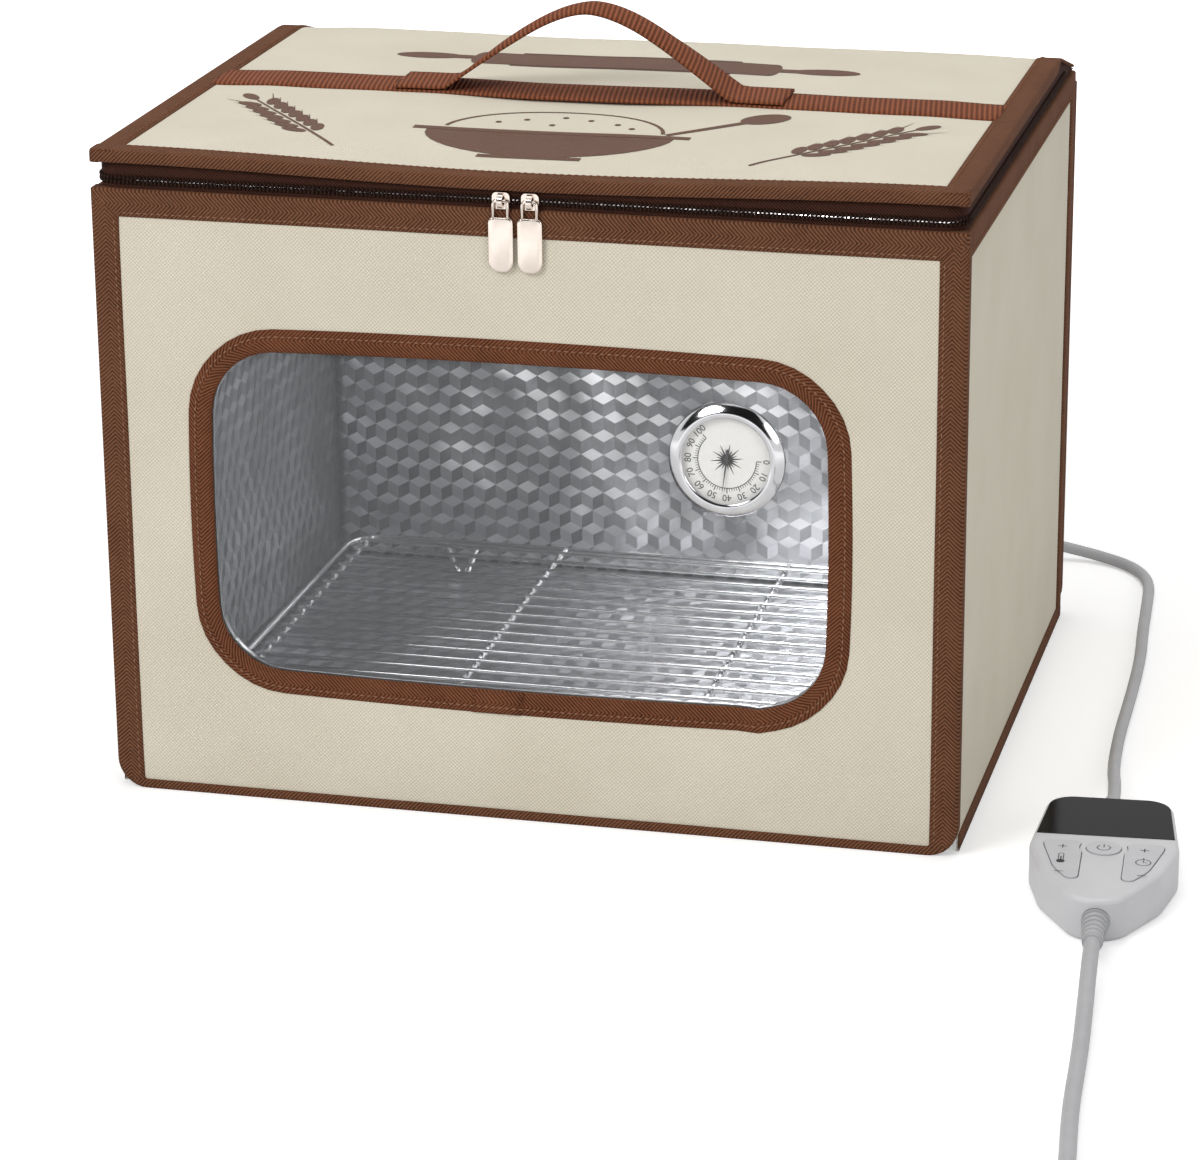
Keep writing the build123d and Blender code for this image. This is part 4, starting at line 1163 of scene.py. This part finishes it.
# %% Finishes of the nodes that stay
kept = {
    chrome: "dial_case",
    warm_chrome: "slider_left slider_right",
    wire_metal: "rack_frame rack_wires",
    lens_clear: "dial_lens",
    card_white: "dial_card",
    needle_black: "dial_needle",
    moulded: "controller_base controller_cover plug_body",
    soft_rubber: "relief_upper relief_lower cord_grommet",
    key_rubber: "power_button temperature_rocker time_rocker",
    display_black: "controller_display",
    circuit: "controller_board",
    brass: "plug_blades",
    film_grey: "bottom_rear_film bottom_front_film",
    board_tan: "back_core front_core bottom_rear_core bottom_front_core",
}
for finish, names in kept.items():
    for name in names.split():
        nodes[name].data.materials.clear()
        nodes[name].data.materials.append(finish)
print("kept nodes", sum(len(names.split()) for names in kept.values()))

# %% [markdown]
# Printed marks are thin flat shapes laid on their surface. Two stamps are enough: a disc, from a
# circle that is scaled and turned, and a bar, from a small grid. The dial has a plain scale from
# 0 to 100 and a star at its middle.


# %% Stamps
def disc(mesh, x, y, wide, tall, turn=0.0, count=20):
    place = Matrix.Translation((x, y, 0)) @ Matrix.Rotation(radians(turn), 4, "Z")
    place = place @ Matrix.Diagonal((wide, tall, 1, 1))
    made = bmesh.ops.create_circle(mesh, cap_ends=True, cap_tris=True, segments=count,
                                   radius=1, matrix=place)
    return made["verts"]


def bar(mesh, start, end, wide, narrow=None, cuts=6):
    """A straight bar from one point to another, which may taper."""
    start, end = Vector(start), Vector(end)
    way = end - start
    narrow = wide if narrow is None else narrow
    made = bmesh.ops.create_grid(mesh, x_segments=cuts, y_segments=1, size=0.5)["verts"]
    side = Vector((-way.y, way.x)).normalized()
    for vertex in made:
        share = vertex.co.x + 0.5
        width = wide + (narrow - wide) * share
        place = start + way * share + side * (vertex.co.y * width)
        vertex.co = (place.x, place.y, 0)
    return made


def hoop(mesh, x, y, radius, thick, start=0.0, end=360.0, count=28):
    """A ring, or part of one."""
    grid(mesh, [radians(a) for a in steps(start, end, count)],
         (radius - thick / 2, radius + thick / 2),
         lambda a, r: (x + r * cos(a), y + r * sin(a), 0), (0, 0, 1))


def written(mesh, text, x, y, size, turn):
    """Plain figures, made a mesh and set in place."""
    curve = bpy.data.curves.new("figures", "FONT")
    curve.body, curve.size, curve.align_x, curve.align_y = text, size, "CENTER", "CENTER"
    holder = bpy.data.objects.new("figures", curve)
    bpy.context.scene.collection.objects.link(holder)
    bpy.context.view_layer.update()
    data = bpy.data.meshes.new_from_object(holder)
    bpy.data.objects.remove(holder)
    data.transform(Matrix.Translation((x, y, 0)) @ Matrix.Rotation(radians(turn), 4, "Z"))
    mesh.from_mesh(data)


# %% Dial print
def dial_print():
    mesh = bmesh.new()
    for unit in range(0, 101, 2):
        angle = radians(-2.25 * unit)
        way = Vector((cos(angle), sin(angle)))
        major = unit % 10 == 0
        bar(mesh, way * 13.4, way * (15.6 if major else 14.7), 0.4 if major else 0.26, cuts=1)
        if major:
            written(mesh, str(unit), way.x * 17.7, way.y * 17.7, 4.3, degrees(angle) - 90)
    hoop(mesh, 0, 0, 13.3, 0.35, -225, 0)
    for n in range(20):
        way = Vector((cos(radians(18 * n + 7)), sin(radians(18 * n + 7))))
        bar(mesh, way * 0.5, way * (7.4 if n % 2 == 0 else 5.0), 1.2, 0.1, cuts=1)
    for vertex in mesh.verts:
        x, y, _ = vertex.co
        vertex.co = (DIAL_X + x, -168.97, DIAL_Z + y)
    face_to(mesh, list(mesh.faces), (0, -1, 0))
    finished(mesh, "dial_print", dark_mark, "front_panel", smooth=False)


def bezel():
    """The dial's bright rim: a cone that leans back from the lens to a thin edge."""
    profile = [(26.5, 0), (26.5, 0.9), (26.1, 1.35), (22.8, 3.4), (22.2, 3.6), (21.3, 3.55)]
    profile += [(20.2, 3.3), (20.1, 3.07)]
    mesh = grid(bmesh.new(), steps(0, 2 * pi, 96), profile,
                lambda a, p: (DIAL_X + p[0] * cos(a), -168.4 - p[1], DIAL_Z + p[0] * sin(a)),
                lambda p: (p.x - DIAL_X, -30, p.z - DIAL_Z), closed=True)
    finished(mesh, "bezel", chrome, "front_panel", ["dial_bezel"])


dial_print()
bezel()

# %% [markdown]
# The keys carry plain signs: plus, minus, a thermometer, a clock and the power mark. Each sign
# rides on its own key, so it moves when the key is pressed.


# %% Key signs
def sign(name, body, bars, hoops=(), discs=()):
    """Marks in the controller's own axes, moved to where it lies."""
    mesh = bmesh.new()
    for start, end, wide in bars:
        bar(mesh, start, end, wide, cuts=1)
    for facts in hoops:
        hoop(mesh, *facts)
    for facts in discs:
        disc(mesh, *facts)
    place = Matrix.Translation((269, -191, 20.66)) @ Matrix.Rotation(radians(4.2), 4, "Z")
    bmesh.ops.transform(mesh, matrix=place, verts=mesh.verts)
    face_up(mesh)
    finished(mesh, name, dark_mark, body, smooth=False)


def plus_minus(x):
    """The bars of a plus at a key's far end and of a minus at its near end."""
    return [((x - 2, -2.2), (x + 2, -2.2), 0.5), ((x, -4.2), (x, -2.45), 0.5),
            ((x, -1.95), (x, -0.2), 0.5), ((x - 2, -30.5), (x + 2, -30.5), 0.5)]


sign("power_sign", "power_button", [((0, -1.2), (0, 2.2), 0.45)],
     [(0, -1.5, 2.9, 0.45, 125, 415)])
tube = [((-19.1, -18), (-19.1, -11.4), 0.4), ((-16.9, -18), (-16.9, -11.4), 0.4),
        ((-18, -18), (-18, -13.6), 0.6)]
sign("temperature_signs", "temperature_rocker", plus_minus(-18) + tube,
     [(-18, -11.4, 1.1, 0.4, 0, 180)], [(-18, -19.2, 1.9, 1.9)])
hands = [((18, -16), (18, -13.7), 0.4), ((18, -16), (19.7, -16), 0.4),
         ((18, -12.4), (18, -11.3), 0.7)]
sign("time_signs", "time_rocker", plus_minus(18) + hands, [(18, -16, 3.3, 0.45)])

# %% [markdown]
# The lid's print is a design of its own in one brown: a bowl of rising dough with a spoon in
# front, two ears of wheat that point outward, and a rolling pin behind the strap. The shapes
# are stamped flat and then dropped onto the lid's height, a hair above the cloth.


# %% Lid print
def laid(mesh, name):
    for _ in range(3):
        long_edges = [edge for edge in mesh.edges if edge.calc_length() > 4]
        bmesh.ops.subdivide_edges(mesh, edges=long_edges, cuts=1)
    for vertex in mesh.verts:
        x, y, _ = vertex.co
        vertex.co.z = cloth_height(x, y) + 0.25
    face_up(mesh)
    finished(mesh, name, ink, "lid")


def half_disc(mesh, x, y, wide, tall, upper):
    """Half an ellipse, cut from a whole one."""
    made = disc(mesh, x, y, wide, tall, 0, 40)
    geom = list({e for v in made for e in v.link_edges} | {f for v in made for f in v.link_faces})
    bmesh.ops.bisect_plane(mesh, geom=made + geom, plane_co=(x, y, 0), plane_no=(0, 1, 0),
                           clear_outer=not upper, clear_inner=upper)


def bowl():
    mesh = bmesh.new()
    half_disc(mesh, -5, -97, 58, 37, False)
    bar(mesh, (-70, -94), (60, -94), 5, cuts=20)
    bar(mesh, (-29, -135), (19, -135), 4, cuts=8)
    grid(mesh, steps(radians(4), radians(176), 40), (0.965, 1),
         lambda a, r: (-5 + r * 52 * cos(a), -91 + r * 36 * sin(a), 0), (0, 0, 1))
    for x, y in ((-34, -78), (-22, -72), (-5, -66), (8, -70), (22, -76), (30, -82), (-8, -80)):
        disc(mesh, x, y, 1.5, 1.5, 0, 10)
    bar(mesh, (48, -90), (80, -58), 3.2, 4.2, cuts=8)
    disc(mesh, 86, -51, 13, 8.5, 46)
    laid(mesh, "bowl_print")


def wheat(side):
    mesh = bmesh.new()
    start, way = Vector((side * 96, -136)), Vector((side * 0.62, 0.78)).normalized()
    across = Vector((-way.y, way.x))
    bar(mesh, start, start + way * 100, 1.7, 1.1, cuts=12)
    for n in range(7):
        spot = start + way * (34 + 9.6 * n)
        for hand in (-1, 1):
            place = spot + across * hand * 5.8
            lean = degrees(atan2(way.y, way.x)) + hand * 30
            disc(mesh, place.x, place.y, 6.8, 3.1, lean, 16)
            tip = place + Matrix.Rotation(radians(hand * 20), 2) @ way * 17
            bar(mesh, place, tip, 0.9, 0.2, cuts=3)
    end = start + way * 106
    disc(mesh, end.x, end.y, 7.4, 3.2, degrees(atan2(way.y, way.x)), 16)
    laid(mesh, "wheat_left_print" if side < 0 else "wheat_right_print")


def rolling_pin():
    mesh = bmesh.new()
    bar(mesh, (-78, 52), (68, 52), 25, cuts=24)
    for x, hand in ((-78, -1), (68, 1)):
        disc(mesh, x, 52, 4, 12.5, 0, 20)
        bar(mesh, (x + hand * 4, 52), (x + hand * 12, 52), 7, cuts=2)
        disc(mesh, x + hand * 26, 52, 17, 6, 0, 20)
    for y in (38, 66):
        bar(mesh, (-60, y), (50, y), 1.4, cuts=16)
    laid(mesh, "rolling_pin_print")


bowl()
wheat(-1)
wheat(1)
rolling_pin()

# %% [markdown]
# The stage is a pale floor, a bright even world and three soft lamps: a large one from the left
# front, a weaker one from the right, and one over the box. A small lamp under the lid stands for
# the light that the foil throws about inside. A dark card, which only mirrors see, gives the
# bright metal something to show.


# %% Floor and world
def stage():
    mesh = bmesh.new()
    bmesh.ops.create_grid(mesh, x_segments=2, y_segments=2, size=6000)
    finished(mesh, "floor", stage_floor(), None, smooth=False)


def stage_floor():
    """Pale near the object, where it takes shadow, and plain white further out."""
    pale = Finish("stage_floor", "F2F2F2", 0.9)
    path = pale.node("LightPath")
    mirrored = pale.calc("MAXIMUM", path.outputs["Is Glossy Ray"],
                         path.outputs["Is Transmission Ray"])
    away = pale.vector("LENGTH", pale.places.outputs["Object"])
    far = pale.calc("SUBTRACT", pale.calc("MULTIPLY", away, 1.4), 0.85)
    far.node.use_clamp = True
    pale.set(**{"Emission Color": (1, 1, 1, 1), "Specular IOR Level": 0.1})
    near = pale.calc("MULTIPLY_ADD", path.outputs["Is Camera Ray"], 0.36,
                     pale.calc("MULTIPLY", mirrored, 0.05))
    seen = pale.calc("MAXIMUM", path.outputs["Is Camera Ray"], mirrored)
    glow = pale.calc("MULTIPLY_ADD", pale.calc("MULTIPLY", far, 0.55), seen, near)
    pale.set(**{"Emission Strength": glow})
    return pale.material


def world():
    """Even light on everything, and plain white for rays that look, mirror or pass through."""
    sky = bpy.data.worlds.new("studio")
    bpy.context.scene.world = sky
    sky.use_nodes = True
    tree, white = Shading(sky.node_tree), (1, 1, 1, 1)
    path = tree.node("LightPath")
    seen = path.outputs["Is Camera Ray"]
    for kind in ("Is Transmission Ray", "Is Glossy Ray"):
        seen = tree.calc("MAXIMUM", seen, path.outputs[kind])
    even, out = tree.tree.nodes["Background"], tree.tree.nodes["World Output"]
    tree.plug(even.inputs["Color"], white)
    tree.plug(even.inputs["Strength"], 0.42)
    plain = tree.node("Background", i0=white, i1=1.0)
    mix = tree.node("MixShader", i0=seen, i1=even.outputs[0], i2=plain.outputs[0])
    tree.plug(out.inputs["Surface"], mix.outputs[0])


def dark_card():
    """A black card high over the front of the stage. Only mirrors see it: it gives them shape."""
    far = 5000
    mesh = grid(bmesh.new(), steps(radians(-65), radians(40), 14),
                steps(radians(10), radians(58), 6),
                lambda a, e: (far * sin(a) * cos(e), -far * cos(a) * cos(e), far * sin(e)),
                (0, 1, -1))
    card = finished(mesh, "dark_card", hard("card_black", "0A0A0B", 0.9).material, None)
    card.visible_camera = card.visible_diffuse = card.visible_shadow = False
    card.visible_transmission = False


def lamp(name, place, target, size, power, seen=True):
    data = bpy.data.lights.new(name, "AREA")
    data.shape, data.size, data.energy = "DISK", size, power
    made = bpy.data.objects.new(name, data)
    bpy.context.scene.collection.objects.link(made)
    made.location = place
    made.rotation_mode = "QUATERNION"
    made.rotation_quaternion = (Vector(target) - Vector(place)).to_track_quat("-Z", "Y")
    made.visible_camera = seen


stage()
world()
dark_card()
lamp("key", (-1.5, -2.2, 2.2), (0, 0, 0.15), 1.6, 46)
lamp("fill", (2.2, -1.8, 1.2), (0, 0, 0.15), 1.4, 13)
lamp("top", (0.1, 0.3, 2.4), (0, 0, 0.2), 1.4, 17)
lamp("inside", (0.07, -0.02, 0.27), (0.09, 0.12, 0.0), 0.16, 0.9, seen=False)
bpy.context.scene.view_settings.view_transform = "Standard"
print("stage ready")
